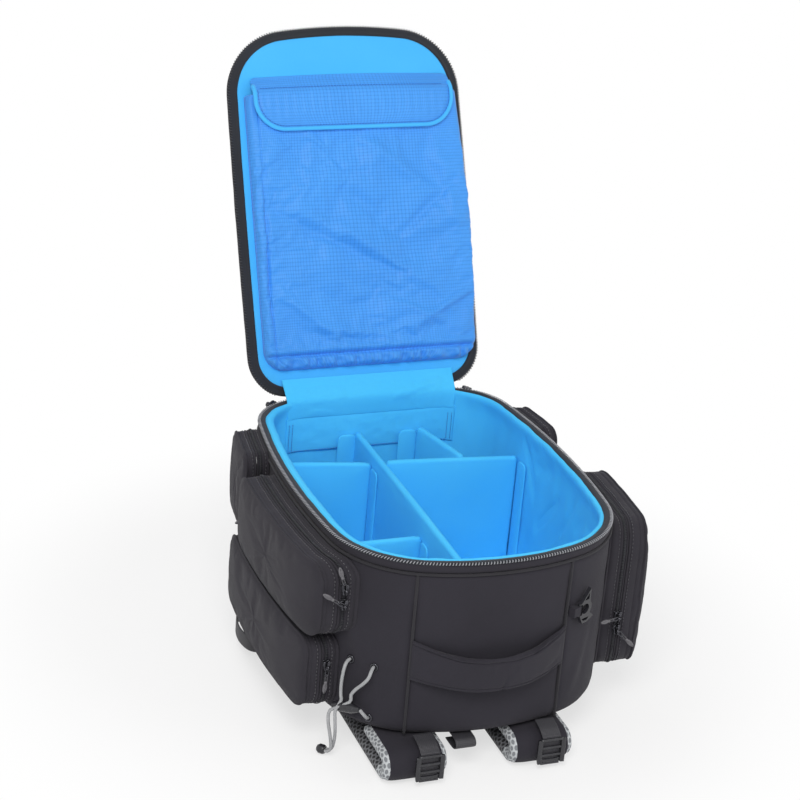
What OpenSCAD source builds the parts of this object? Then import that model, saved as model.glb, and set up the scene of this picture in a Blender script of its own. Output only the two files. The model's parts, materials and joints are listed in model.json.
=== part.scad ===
// Camera backpack lying on its back with the lid open.
// X is the width, Y runs from the top of the pack (near end) to its hinged bottom end, Z is up.

/* [Body] */
// Length of the compartment box from the grab-handle end to the hinge end
body_l = 480; // [440:1:520]
// Greatest width, across the middle, where the open bag bulges
body_w = 368; // [352:1:390]
// Radius of the bulge of the long sides
side_r = 1080; // [900:10:1600]
// Radius of the bulge of the grab-handle end
near_edge_r = 300; // [260:5:420]
// Height of the box from its back sheet to the rim
body_h = 232; // [222:1:260]
// Corner radius at the grab-handle end
near_r = 120; // [100:1:125]
// Corner radius at the hinge end
far_r = 80; // [60:1:90]
// Height of the back sheet above the floor, filled by the harness and back pads
stand_h = 44; // [44:1:52]

/* [Walls] */
// Outer fabric thickness
shell_t = 3; // [2:0.5:4]
// Foam thickness of walls and floor
foam_t = 8; // [6:0.5:10]
// Inner lining thickness
lining_t = 2; // [1.5:0.5:3]
// Stiffener sheet thickness
board_t = 2.5; // [1.5:0.5:4]
// Height of the zip tape round the rim
tape_h = 10; // [8:1:14]
// Side of the square piping and zip beads
bead = 3; // [2.5:0.25:3.5]

/* [Lid] */
// Width of the lid
lid_w = 322; // [300:1:326]
// Radius of the bulge of the lid's long sides
lid_side_r = 12000; // [6000:500:20000]
// Radius of the bulge of the lid's free end
lid_edge_r = 740; // [400:10:1200]
// Corner radius at the free end of the lid
lid_near_r = 84; // [60:1:95]
// Corner radius at the hinge end of the lid
lid_far_r = 52; // [40:1:70]
// Thickness of the lid
lid_t = 14; // [12:0.5:20]
// Width of the zip tape round the lid
lid_tape_w = 11; // [8:1:14]
// Angle between the lid and the closed position
lid_angle = 115; // [90:1:130]
// Width of the rip-stop pocket inside the lid
lid_pocket_w = 292; // [270:1:296]
// Depth of the lid pocket
lid_pocket_t = 14; // [10:0.5:20]
// Height of the flap over the lid pocket
flap_h = 70; // [50:1:90]

/* [Dividers] */
// Thickness of the padded dividers
divider_t = 10; // [8:1:12]
// Height of the tall dividers above the floor lining
divider_h = 169; // [150:1:185]
// Width of the hook-and-loop flanges
flange_w = 24; // [18:1:30]

/* [Pockets] */
// Length of the upper pocket on the left wall
upper_pocket_l = 258; // [220:1:260]
// Height of the upper pocket on the left wall
upper_pocket_h = 94; // [80:1:96]
// Length of the lower pocket on the left wall
lower_pocket_l = 286; // [240:1:300]
// Height of the lower pocket on the left wall
lower_pocket_h = 96; // [80:1:98]
// Length of the tall pocket on the right wall
right_pocket_l = 185; // [150:1:220]
// Length of the small pockets at the hinge end
rear_pocket_l = 93; // [70:1:94]
// Height of the small pockets at the hinge end
rear_pocket_h = 106; // [80:1:140]
// How far the zipped pockets on the left wall stand out
left_pocket_d = 42; // [36:1:50]
// How far the tall pocket on the right wall stands out
right_pocket_d = 50; // [40:1:56]
// How far the small pockets at the hinge end stand out
rear_pocket_d = 32; // [26:1:38]
// Fabric and foam thickness of a pocket
pocket_t = 3; // [2:0.5:4]
// Length of a zip slider
slider_l = 13; // [10:0.5:15]
// Length of a zip pull
pull_l = 34; // [24:1:40]

/* [Handle and harness] */
// Width of the grab handle
handle_w = 190; // [150:1:200]
// Height of the grab handle band
handle_h = 58; // [46:1:66]
// Finger gap behind the grab handle
handle_gap = 14; // [12:1:20]
// Thickness of the grab handle band
handle_t = 7; // [5:1:10]
// Width of a shoulder strap
strap_w = 80; // [65:1:90]
// Length of the loose part of a shoulder strap
strap_l = 308; // [280:1:310]
// Thickness of a shoulder strap
strap_t = 18; // [14:1:18]
// Width of the load-lifter webbing
web_w = 25; // [20:1:30]
// Webbing thickness
web_t = 1.6; // [1.2:0.2:2]
// Bore of the accessory ring
ring_bore = 13; // [8:0.5:14]
// Thickness of the accessory ring
ring_t = 5; // [4:0.5:7]
// Diameter of the elastic cord
cord_d = 4; // [3:0.5:4.5]

/* [Hidden] */

$fn = 48;
eps = 0.01;

// Clearance between pieces that move past each other
gap = 0.4;
// Length of a cutting solid that must reach past everything
reach = 1000;
// Overshoot of a cutting solid past the face that it opens
over = 1;

black = [0.20, 0.195, 0.215];
piping_black = [0.14, 0.14, 0.15];
zip_black = [0.10, 0.10, 0.11];
plastic_black = [0.07, 0.07, 0.08];
metal = [0.28, 0.28, 0.30];
lining_blue = [0.27, 0.69, 1.0];
ripstop_blue = [0.25, 0.58, 0.94];
foam_grey = [0.45, 0.45, 0.47];
cord_grey = [0.67, 0.67, 0.68];

// ---- outlines ----------------------------------------------------------------------------

near_n = 4;
near_arc_n = 8;
side_n = 7;
far_arc_n = 6;

// Where the circle of radius a about p meets the one of radius b about q, on the left of p-q
function meet(p, a, q, b) =
    let (d = norm(q - p), e = (q - p) / d, x = (d * d + a * a - b * b) / (2 * d),
         h = sqrt(a * a - x * x))
    p + x * e + h * [-e[1], e[0]];
function angle_of(v) = atan2(v[1], v[0]);
function arc(c, r, a0, a1, n) = [for (i = [1:n]) let (a = a0 + (a1 - a0) * i / n)
    c + r * [cos(a), sin(a)]];

// An outline is [width, side radius, near edge radius, near corner radius, far corner radius],
// of arcs that run into each other, between a curved near edge and a straight far edge
function edge_c(o) = [0, -body_l / 2 + o[2]];
function side_c(o) = [o[0] / 2 - o[1], 0];
function near_c(o) = meet(edge_c(o), o[2] - o[3], side_c(o), o[1] - o[3]);
function far_c(o) = let (y = body_l / 2 - o[4])
    [side_c(o)[0] + sqrt(pow(o[1] - o[4], 2) - y * y), y];
function right_outline(o, d) =
    let (a1 = angle_of(near_c(o) - edge_c(o)), a2 = angle_of(near_c(o) - side_c(o)),
         a3 = angle_of(far_c(o) - side_c(o)))
    concat(arc(edge_c(o), o[2] - d, -90, a1, near_n), arc(near_c(o), o[3] - d, a1, a2, near_arc_n),
        arc(side_c(o), o[1] - d, a2, a3, side_n), arc(far_c(o), o[4] - d, a3, 90, far_arc_n));
function mirrored(p) = concat(p, [for (i = [len(p) - 1:-1:0]) [-p[i][0], p[i][1]]]);

body_o = [body_w, side_r, near_edge_r, near_r, far_r];
lid_o = [lid_w, lid_side_r, lid_edge_r, lid_near_r, lid_far_r];
function body_outline(d) = mirrored(right_outline(body_o, d));
function lid_outline(d) = mirrored(right_outline(lid_o, d));

// Rectangle with round corners, as a polygon
function round_rect(x0, y0, x1, y1, r, n = 4) = [
    for (c = [[x1 - r, y1 - r, 0], [x0 + r, y1 - r, 90], [x0 + r, y0 + r, 180], [x1 - r, y0 + r, 270]],
         i = [0:n]) let (a = c[2] + 90 * i / n) [c[0] + r * cos(a), c[1] + r * sin(a)]];

// Surface of the body wall: y of the near wall at x, and x of the right wall at y, offset out by d
corner = near_c(body_o);
edge = edge_c(body_o);
side = side_c(body_o);
function near_y(x) = abs(x) <= near_edge_r * sin(angle_of(corner - edge) + 90)
    ? edge[1] - sqrt(pow(near_edge_r, 2) - x * x)
    : corner[1] - sqrt(pow(near_r, 2) - pow(abs(x) - corner[0], 2));
function flank_x(y, d) = y < corner[1] + (near_r + d) * sin(angle_of(corner - side))
    ? corner[0] + sqrt(pow(near_r + d, 2) - pow(corner[1] - y, 2))
    : side[0] + sqrt(pow(side_r + d, 2) - y * y);

// Point on a near corner at angle a from the near end, d outside the wall
function corner_point(a, d, turn = -1) =
    [turn * (corner[0] + (near_r + d) * sin(a)), corner[1] - (near_r + d) * cos(a)];

// ---- heights and places ------------------------------------------------------------------

rim_z = stand_h + body_h;
wall_t = shell_t + foam_t + lining_t;
floor_z = stand_h + wall_t;
hinge_y = body_l / 2;
hinge_z = rim_z + gap;
lid_lean = lid_angle - 90;

// The shoulder straps turn under at the near end, and the ladder locks stand on their turns
bend_r = stand_h / 2;
bend_in = 2;
bend_y = -body_l / 2 + bend_in;
ladder_t = 6;
ladder_y = bend_y - bend_r - gap;
// How far the lifter webbing hangs in front of its ladder lock
web_out = 3.2;

// The origin is the middle of the footprint of the whole bag with its lid open
ladder_front = ladder_t + web_out - ladder_y;
min_x = -body_w / 2 - left_pocket_d;
max_x = body_w / 2 + right_pocket_d;
max_y = hinge_y + body_l * sin(lid_lean) + lid_t * cos(lid_lean);
shift = [-(min_x + max_x) / 2, -(max_y - ladder_front) / 2, 0];

module place() { translate(shift) children(); }
module lid_place() {
    translate([0, hinge_y, hinge_z]) rotate([-lid_angle, 0, 0]) translate([0, -hinge_y, 0]) children();
}
module prism(z0, z1, points) { translate([0, 0, z0]) linear_extrude(z1 - z0) polygon(points); }
// Extrudes a profile drawn as [y, z] along X from x0 to x1
module across(x0, x1, points) {
    translate([x0, 0, 0]) rotate([90, 0, 90]) linear_extrude(x1 - x0) polygon(points);
}
// Extrudes a profile drawn as [x, z] along Y from y0 to y1
module lengthwise(y0, y1, points) {
    translate([0, y1, 0]) rotate([90, 0, 0]) linear_extrude(y1 - y0) polygon(points);
}

// ---- box of the bag ----------------------------------------------------------------------

module outer_shell() {
    color(black) difference() {
        prism(stand_h, rim_z - tape_h, body_outline(0));
        prism(stand_h + shell_t, rim_z, body_outline(shell_t));
    }
}

module wall_foam() {
    color(foam_grey) difference() {
        prism(stand_h + shell_t, rim_z - lining_t, body_outline(shell_t));
        prism(stand_h + shell_t + foam_t, rim_z, body_outline(shell_t + foam_t));
        prism(stand_h, stand_h + shell_t + board_t, body_outline(wall_t));
    }
}

module back_board() {
    color(zip_black) prism(stand_h + shell_t, stand_h + shell_t + board_t, body_outline(wall_t));
}

module wall_lining() {
    color(lining_blue) difference() {
        union() {
            prism(stand_h + shell_t + foam_t, rim_z, body_outline(shell_t + foam_t));
            prism(rim_z - lining_t, rim_z, body_outline(shell_t));
        }
        prism(floor_z, rim_z + eps, body_outline(wall_t));
    }
}

// Zip tape standing on the shell, with the coil as a bead on its outer side up to the hinge
coil_z = rim_z - (tape_h + bead) / 2;
coil_end_x = 110;
module body_zipper() {
    color(zip_black) difference() {
        union() {
            prism(rim_z - tape_h, rim_z, body_outline(0));
            difference() {
                prism(coil_z, coil_z + bead, body_outline(-bead / 2));
                translate([-coil_end_x, 0, 0]) cube([2 * coil_end_x, body_l, rim_z]);
            }
        }
        prism(stand_h, rim_z + eps, body_outline(shell_t));
    }
}

// Piping where the narrow gusset under the zip tape joins the body wall
gusset_h = 8;
piping_z = rim_z - tape_h - gusset_h;
module rim_piping() {
    color(piping_black) difference() {
        prism(piping_z, piping_z + bead, body_outline(-bead));
        prism(stand_h, rim_z, body_outline(0));
    }
}

// The sewn panel of the near end, with piping down both of its seams
panel_x = -8;
seam_d = bead + 1;
seam_x = [panel_x - handle_w / 2, panel_x + handle_w / 2];
module panel_piping() {
    color(piping_black) difference() {
        for (x = seam_x) translate([x, near_y(x), stand_h + bead])
            cylinder(d = seam_d, h = piping_z - stand_h - 2 * bead);
        prism(stand_h, rim_z, body_outline(0));
    }
}

// Fabric hinge panel, sewn to the far wall inside and reaching the lid, with a stitched lower part
gusset_w = 236;
gusset_low = 75;
gusset_step = 25;
gusset_t = 3;
gusset_hem = 1;
far_in = body_l / 2 - wall_t;
module gusset_band(z0, z1, t) {
    difference() {
        prism(z0, z1, body_outline(wall_t));
        prism(z0 - over, z1 + over, body_outline(wall_t + t));
    }
}
module hinge_gusset() {
    color(lining_blue) intersection() {
        union() {
            gusset_band(rim_z - gusset_low, rim_z - gusset_hem, gusset_t);
            gusset_band(rim_z - gusset_low, rim_z - gusset_step, gusset_t + gusset_hem);
        }
        translate([-gusset_w / 2, 0, 0]) cube([gusset_w, body_l, rim_z]);
    }
}

// ---- grab handle, ring and elastic -------------------------------------------------------

handle_low = 72;
handle_z = stand_h + handle_low;
handle_steps = 10;
handle_sag = 16;
handle_rise = 6;
handle_end_t = 3;
function bulge(t) = 1 - pow(2 * t - 1, 2);
function handle_x(t) = seam_x[0] + handle_w * t;
module grab_handle() {
    out = [for (i = [0:handle_steps]) let (t = i / handle_steps, x = handle_x(t))
        [x, near_y(x) - handle_end_t - (handle_gap + handle_t - handle_end_t) * bulge(t)]];
    inn = [for (i = [handle_steps:-1:0]) let (t = i / handle_steps, x = handle_x(t))
        [x, near_y(x) + shell_t - (handle_gap + shell_t) * bulge(t)]];
    front = concat(
        [for (i = [0:handle_steps]) let (t = i / handle_steps)
            [handle_x(t), handle_z + handle_rise * (1 - bulge(t))]],
        [for (i = [handle_steps:-1:0]) let (t = i / handle_steps)
            [handle_x(t), handle_z + handle_h - handle_sag * bulge(t)]]);
    color(black) difference() {
        intersection() {
            prism(stand_h, rim_z, concat(out, inn));
            lengthwise(-body_l, 0, front);
        }
        prism(stand_h, rim_z, body_outline(0));
        panel_cuts();
    }
}
// Room for the seam piping in the ends of the handle
module panel_cuts() {
    for (x = seam_x) translate([x, near_y(x), stand_h]) cylinder(d = seam_d, h = body_h);
}

// Accessory ring: a flat moulding with a round bar, hinged in a webbing tab by the right-hand seam
ring_a = 25;
ring_high = 147;
ring_z = stand_h + ring_high;
ring_off = 2.5;
ring_rim = 5;
ring_r = ring_bore / 2 + ring_rim;
ring_bar_r = 1.9;
ring_bar_x = -ring_bore / 2 - ring_bar_r;
ring_bar_root = 1;
ring_window = 14.4;
ring_clear = 3.4;
module ring_place() {
    p = corner_point(ring_a, ring_off, 1);
    translate([p[0], p[1], ring_z]) rotate([0, 0, ring_a]) children();
}
// Outline seen from the front, with a horn above and a wide barb below the bore, both pierced
horn_h = 13.5;
barb_h = 7.5;
barb_out = 5;
barb_wall = 3;
horn_tip_x = ring_r - 4;
horn = [[-ring_r + 1, 4], [horn_tip_x, ring_r + horn_h], [ring_r - 3, 6]];
horn_hole = [[-2, ring_r], [horn_tip_x - 2, ring_r + horn_h - 5], [horn_tip_x - 2, ring_r]];
barb = [[-ring_r + 2, -6], [-3, -ring_r - barb_h], [barb_out, -ring_r - barb_h],
    [ring_r + barb_out, -ring_r - barb_h / 3], [ring_r - 3, -7]];
barb_hole = [[-5, -ring_r - 1], [-1, barb_wall - ring_r - barb_h],
    [barb_out, barb_wall - ring_r - barb_h], [8, -ring_r - 1]];
module ring_profile() {
    difference() {
        union() {
            circle(r = ring_r);
            polygon(horn);
            polygon(barb);
        }
        circle(d = ring_bore);
        polygon(horn_hole);
        polygon(barb_hole);
        translate([ring_bar_x + ring_clear - ring_r, -ring_window / 2]) square([ring_r, ring_window]);
    }
}
module accessory_ring() {
    color(plastic_black) ring_place() {
        rotate([90, 0, 0]) linear_extrude(ring_t) ring_profile();
        translate([ring_bar_x, -ring_t / 2, -ring_window / 2 - ring_bar_root])
            cylinder(r = ring_bar_r, h = ring_window + 2 * ring_bar_root);
    }
}
// Webbing tab from the seam, folded round the bar of the ring
ring_tab_l = 11;
ring_tab_h = 12;
ring_tab_wall = 0.8;
ring_tab_t = 2 * (ring_bar_r + gap + ring_tab_wall);
ring_tab_root = 4;
module ring_tab() {
    color(black) difference() {
        ring_place() difference() {
            union() {
                translate([ring_bar_x - ring_tab_l, -ring_t / 2 - ring_tab_t / 2, -ring_tab_h / 2])
                    cube([ring_tab_l, ring_tab_t, ring_tab_h]);
                translate([ring_bar_x - ring_tab_l, 0, -ring_tab_h / 2])
                    cube([ring_tab_l - 2 * ring_bar_r, ring_off + ring_tab_root, ring_tab_h]);
            }
            translate([ring_bar_x, -ring_t / 2, -ring_tab_h]) cylinder(r = ring_bar_r + gap, h = reach);
        }
        prism(stand_h, rim_z, body_outline(0));
        panel_cuts();
    }
}

// Eyelets of the elastic cord on the near-left corner: angle round the corner and height
eyelet_at = [[57, 86], [42, 86], [43, 17]];
eyelet_d = 11;
eyelet_t = 1.6;
module at_corner(a, d, z) {
    p = corner_point(a, d, -1);
    translate([p[0], p[1], stand_h + z]) rotate([0, 0, -a]) children();
}
module eyelets() {
    color(metal) difference() {
        for (e = eyelet_at) at_corner(e[0], eyelet_t, e[1]) rotate([-90, 0, 0])
            difference() {
                cylinder(d = eyelet_d, h = eyelet_t * 2);
                translate([0, 0, -eps]) cylinder(d = cord_d + 2 * gap, h = reach);
            }
        prism(stand_h, rim_z, body_outline(0));
    }
}

// Sweeps a tube with the given number of sides along hand-set points
function unit(v) = v / norm(v);
function tangent(p, i) = unit(p[min(i + 1, len(p) - 1)] - p[max(i - 1, 0)]);

module tube(points, d, sides = 8) {
    n = len(points);
    up = [0.3, 0.2, 0.93];
    rings = [for (i = [0:n - 1]) let (t = tangent(points, i), u = unit(cross(up, t)), v = cross(t, u))
        [for (k = [0:sides - 1]) let (a = 360 * k / sides)
            points[i] + d / 2 * (cos(a) * u + sin(a) * v)]];
    verts = [for (r = rings, q = r) q];
    faces = concat(
        [[for (k = [0:sides - 1]) k]],
        [[for (k = [sides - 1:-1:0]) (n - 1) * sides + k]],
        [for (i = [0:n - 2], k = [0:sides - 1]) let (j = (k + 1) % sides)
            [i * sides + k, (i + 1) * sides + k, (i + 1) * sides + j]],
        [for (i = [0:n - 2], k = [0:sides - 1]) let (j = (k + 1) % sides)
            [i * sides + k, (i + 1) * sides + j, i * sides + j]]);
    polyhedron(verts, faces);
}

// Routes of the elastic: eyelet to lock twice, lock to the lowest eyelet, and the two tail strands
cord_runs = [
    [[-158.9, -175.6, 130], [-162.5, -177.9, 129.6], [-165.4, -179.8, 127.4], [-167.3, -180.7, 123],
     [-168.2, -180.3, 116.5], [-168.7, -179, 107], [-168.8, -178, 95], [-168.4, -178.6, 84],
     [-167.9, -179.4, 77]],
    [[-138.5, -199.5, 130], [-141, -202.5, 129.6], [-143.5, -205.1, 127.4], [-145.6, -206.6, 123],
     [-148.2, -205.2, 116.5], [-152.2, -200.2, 108], [-156.8, -194.2, 99], [-160.2, -190.2, 90],
     [-161.2, -189.2, 79.5]],
    [[-152.6, -201.4, 75.4], [-149.5, -203, 71.5], [-145.8, -203.2, 66.8], [-142.6, -201, 63],
     [-140.1, -198.2, 61]]];
tail_runs = [
    [[-174.9, -181.5, 66.5], [-175.4, -183, 57], [-174.6, -183.4, 46], [-173.4, -181.8, 34],
     [-172.6, -178.8, 22.5], [-172.8, -176.2, 14.2], [-173.7, -175.2, 10.2], [-175.7, -173.2, 7.3],
     [-178.6, -170.3, 6.2]],
    [[-177.4, -178, 66], [-179.9, -176.6, 62.8], [-181.3, -176.2, 57], [-180.8, -177.1, 46],
     [-178.8, -178.4, 34], [-177, -178.9, 23], [-176.2, -178.9, 14.2], [-177, -178.1, 10],
     [-179, -176.1, 7.2], [-181.8, -173.3, 6.2]]];
module elastic_cord() { color(cord_grey) for (run = cord_runs) tube(run, cord_d); }
module cord_tail() { color(cord_grey) for (run = tail_runs) tube(run, cord_d); }

// Cord lock: barrel with a tapered nose, and a sprung button in its open end; like the eyelets it
// has an angle round the corner, a distance out from the wall and a height
lock_d = 12;
lock_l = 22;
nose_l = 11;
nose_d = 6;
button_d = 8;
button_in = 8;
button_out = 5;
button_travel = 3.5;
lock_sunk = 2;
lock_at = [55, 10, 27];
lock_tilt = 12;
module lock_place() {
    at_corner(lock_at[0], lock_at[1], lock_at[2]) rotate([0, 90 - lock_tilt, 0]) children();
}
module cord_lock() {
    color(plastic_black) lock_place() difference() {
        union() {
            translate([0, 0, -lock_l / 2 - lock_sunk]) cylinder(d = lock_d, h = lock_l);
            translate([0, 0, lock_l / 2 - lock_sunk]) cylinder(d1 = lock_d, d2 = nose_d, h = nose_l);
        }
        translate([0, 0, -lock_l / 2 - lock_sunk - over])
            cylinder(d = button_d + 2 * gap, h = over + button_in + button_travel + gap);
    }
}
module cord_lock_button() {
    color(plastic_black) lock_place() translate([0, 0, -lock_l / 2 - lock_sunk - button_out])
        cylinder(d = button_d, h = button_out + button_in);
}
toggle_d = 11.6;
toggle_l = 10;
toggle_at = [-180.5, -171.6, 6.2];
toggle_turn = 135;
toggle_edge = 1;
module cord_toggle() {
    r = toggle_d / 2;
    color(plastic_black) translate(toggle_at) rotate([0, 0, toggle_turn]) rotate([0, 90, 0])
        rotate_extrude() polygon([[0, 0], [r - toggle_edge, 0], [r, 2 * toggle_edge],
            [r, toggle_l - 3 * toggle_edge], [r - 2 * toggle_edge, toggle_l], [0, toggle_l]]);
}

// ---- back pads, shoulder straps and webbing ----------------------------------------------

pad_gap = 8;
pad_over_strap = 2;
back_pad_low = strap_t + pad_over_strap;
back_pad_w = 118;
back_pad_near = 72;
lumbar_far = 14;
lumbar_l = 114;
back_pad_y = [-body_l / 2 + back_pad_near, body_l / 2 - lumbar_far - lumbar_l - pad_gap];
back_pad_r = 22;
lumbar_y = [body_l / 2 - lumbar_far - lumbar_l, body_l / 2 - lumbar_far];
lumbar_r = 30;
module pad_blocks() {
    for (x = [-back_pad_w - pad_gap, pad_gap]) prism(back_pad_low, stand_h,
        round_rect(x, back_pad_y[0], x + back_pad_w, back_pad_y[1], back_pad_r));
    prism(0, stand_h, round_rect(-back_pad_w, lumbar_y[0], back_pad_w, lumbar_y[1], lumbar_r));
}
module back_pad() { color(black) pad_blocks(); }

// Each shoulder strap leaves the back sheet, turns under at the near end and runs back along the floor
strap_x = [-98, 62];
strap_back = 56;
strap_split = 26;
strap_back_y = bend_y + strap_back;
strap_split_y = bend_y + strap_split;
strap_end_r = 30;
strap_lift = 0.5;
bend_n = 12;
module strap_root(x) {
    c = [bend_y, bend_r];
    color(black) across(x - strap_w / 2, x + strap_w / 2, concat(
        [[strap_split_y, 0], [bend_y, 0]], arc(c, bend_r, 270, 90, bend_n),
        [[strap_back_y, stand_h], [strap_back_y, stand_h - strap_t], [bend_y, stand_h - strap_t]],
        arc(c, bend_r - strap_t, 90, 270, bend_n), [[strap_split_y, strap_t]]));
}
module strap_pad(x) {
    end_y = strap_split_y + gap + strap_l;
    color(black) intersection() {
        prism(strap_lift, strap_t, round_rect(x - strap_w / 2, strap_split_y - strap_l, x + strap_w / 2,
            end_y, strap_end_r, 6));
        translate([-reach, strap_split_y + gap, 0]) cube(2 * reach);
    }
}
module strap_root_left() { strap_root(strap_x[0]); }
module strap_root_right() { strap_root(strap_x[1]); }
module strap_pad_left() { strap_pad(strap_x[0]); }
module strap_pad_right() { strap_pad(strap_x[1]); }

// Ladder locks with the load-lifter webbing over their top bars
ladder_x = [-84, 70];
ladder_side = 3.5;
ladder_w = web_w + 2 * ladder_side + 1;
ladder_l = 34;
ladder_z = 8;
ladder_lip = 3.4;
ladder_toe = 2;
ladder_slope = 5;
bar = 3.2;
slot_pitch = (ladder_l - bar) / 3;
module ladder_lock(x) {
    color(plastic_black) translate([x - ladder_w / 2, ladder_y - ladder_t, ladder_z]) difference() {
        across(0, ladder_w, [[0, ladder_lip], [ladder_toe, 0], [ladder_t, 0], [ladder_t, ladder_l],
            [ladder_t / 2, ladder_l], [0, ladder_l - ladder_slope]]);
        for (i = [0:2]) translate([ladder_side, -eps, bar + over + i * slot_pitch])
            cube([ladder_w - 2 * ladder_side, ladder_t + over, slot_pitch - bar]);
    }
}

// Outline of a webbing strip t thick, on the left of the line through the points
function turn_left(v) = [-v[1], v[0]];
function strip_side(p, i) =
    let (n0 = turn_left(unit(p[max(i, 1)] - p[max(i, 1) - 1])),
         j = min(i, len(p) - 2), n1 = turn_left(unit(p[j + 1] - p[j])))
    (n0 + n1) / (1 + n0 * n1);
function strip(p, t) = concat(p, [for (i = [len(p) - 1:-1:0]) p[i] + t * strip_side(p, i)]);

// The webbing comes from the foot of the near wall, in over the top bar and hangs out in front
lifter_root = 6;
lifter_drop = 4;
lifter_tail = 2;
module lifter_web(x) {
    top = ladder_z + ladder_l;
    front = ladder_y - ladder_t - web_out;
    color(black) across(x - web_w / 2, x + web_w / 2, strip([
        [near_y(abs(x) - web_w / 2) - web_t, stand_h + lifter_root], [ladder_y, top + web_t],
        [ladder_y - ladder_t + over, top + web_t], [front, top - lifter_drop],
        [front, ladder_z - lifter_tail]], web_t));
}
module ladder_lock_left() { ladder_lock(ladder_x[0]); }
module ladder_lock_right() { ladder_lock(ladder_x[1]); }
module lifter_web_left() { lifter_web(ladder_x[0]); }
module lifter_web_right() { lifter_web(ladder_x[1]); }

// Webbing loops at the lower corners, carrying the far ends of the shoulder straps, drawn as plan
// points of the left one, measured along Y from its own line
lower_web_z = back_pad_low;
lower_web_h = 20;
lower_web_t = 2;
lower_web_in = 150;
lower_web_y = body_l / 2 - lower_web_in;
lower_web_at = [[-114, 16], [-150, -38], [-200, -50], [-213, -24], [-208, 14], [-186, 42], [-114, 60]];
module lower_web(turn) {
    points = [for (q = lower_web_at) [q[0], q[1] + lower_web_y]];
    color(black) mirror([turn < 0 ? 1 : 0, 0, 0]) difference() {
        prism(lower_web_z, lower_web_z + lower_web_h, strip(points, lower_web_t));
        pad_blocks();
    }
}
module lower_web_left() { lower_web(1); }
module lower_web_right() { lower_web(-1); }

// Small haul loop of webbing under the middle of the near end, as [out from the near end, down]
haul_x = -33;
haul_w = 26;
haul_at = [[-26, 0], [-4, 0], [4, 2], [6, 7], [3, 12], [-26, 15]];
module haul_loop() {
    color(black) across(haul_x - haul_w / 2, haul_x + haul_w / 2,
        strip([for (q = haul_at) [-body_l / 2 - q[0], stand_h - q[1]]], web_t));
}

// ---- lid ---------------------------------------------------------------------------------

lid_foam_t = lid_t - lining_t - shell_t;
module lid_shell() {
    color(black) lid_place() difference() {
        prism(bead, lid_t, lid_outline(0));
        prism(0, lid_t - shell_t, lid_outline(lid_tape_w));
    }
}
module lid_foam() {
    color(foam_grey) lid_place() prism(lining_t, lining_t + lid_foam_t, lid_outline(lid_tape_w));
}
module lid_lining() {
    color(lining_blue) lid_place() prism(0, lining_t, lid_outline(lid_tape_w));
}
module lid_zipper() {
    color(zip_black) lid_place() difference() {
        union() {
            prism(0, bead, lid_outline(0));
            intersection() {
                prism(0, bead, lid_outline(-bead / 2));
                translate([-reach / 2, -reach, 0]) cube([reach, reach + hinge_y - lid_far_r, bead]);
            }
        }
        prism(-eps, bead + eps, lid_outline(lid_tape_w));
    }
}

// Flat pocket of rip-stop on the lining, open at the free end under its flap
pocket_x = 6;
pocket_low = 34;
pocket_high = 392;
flap_top = 414;
pocket_r = 30;
sheet_t = 2;
function from_hinge(v) = hinge_y - v;
module lid_pocket() {
    x0 = pocket_x - lid_pocket_w / 2;
    x1 = pocket_x + lid_pocket_w / 2;
    color(ripstop_blue) lid_place() difference() {
        prism(-lid_pocket_t, 0, round_rect(x0, from_hinge(pocket_high), x1, from_hinge(pocket_low),
            pocket_r));
        prism(-lid_pocket_t + sheet_t, eps, round_rect(x0 + sheet_t,
            from_hinge(pocket_high + 2 * pocket_r), x1 - sheet_t, from_hinge(pocket_low + sheet_t),
            pocket_r - sheet_t));
    }
}
flap_t = 3;
flap_inset = 10;
flap_r = 30;
module lid_flap() {
    z1 = -lid_pocket_t - gap;
    low = flap_top - flap_h;
    color(ripstop_blue) lid_place() intersection() {
        across(-lid_w / 2, lid_w / 2, [
            [from_hinge(flap_top), -gap], [from_hinge(flap_top), -gap - flap_t],
            [from_hinge(pocket_high), z1 - flap_t], [from_hinge(low), z1 - flap_t],
            [from_hinge(low), z1], [from_hinge(pocket_high + 1), z1],
            [from_hinge(flap_top - flap_t), -gap]]);
        prism(-reach, 0, round_rect(pocket_x - lid_pocket_w / 2 + flap_inset,
            from_hinge(flap_top + 2 * flap_r), pocket_x + lid_pocket_w / 2 - flap_inset,
            from_hinge(low), flap_r, 6));
    }
}

// ---- dividers ----------------------------------------------------------------------------

divider_z = floor_z + gap;
long_x = -17;
long_y = [-body_l / 2 + wall_t + gap, far_in - gusset_t - gusset_hem - gap];
// How far the boards that end on a curved wall are drawn into it before they are trimmed
tuck = 9;
module cell_space() { prism(divider_z, rim_z, body_outline(wall_t + gap)); }
// Upright board between two plan points, t thick
module board(a, b, t, h) {
    u = (b - a) / norm(b - a);
    n = [-u[1], u[0]] * t / 2;
    prism(divider_z, divider_z + h, [a - n, b - n, b + n, a + n]);
}
flange_t = 4;
module divider_long() {
    color(lining_blue) intersection() {
        union() {
            board([long_x, long_y[0] - tuck], [long_x, long_y[1]], divider_t, divider_h);
            board([long_x, long_y[1] - flange_t / 2],
                [long_x - divider_t / 2 - flange_w, long_y[1] - flange_t / 2], flange_t, divider_h);
            difference() {
                board([long_x, long_y[0]], [long_x + divider_t / 2 + flange_w, long_y[0]],
                    4 * flange_t, divider_h);
                prism(floor_z, rim_z, body_outline(wall_t + gap + flange_t));
            }
        }
        cell_space();
    }
}
left_face = long_x - divider_t / 2 - gap;
right_face = long_x + divider_t / 2 + gap;
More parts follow.
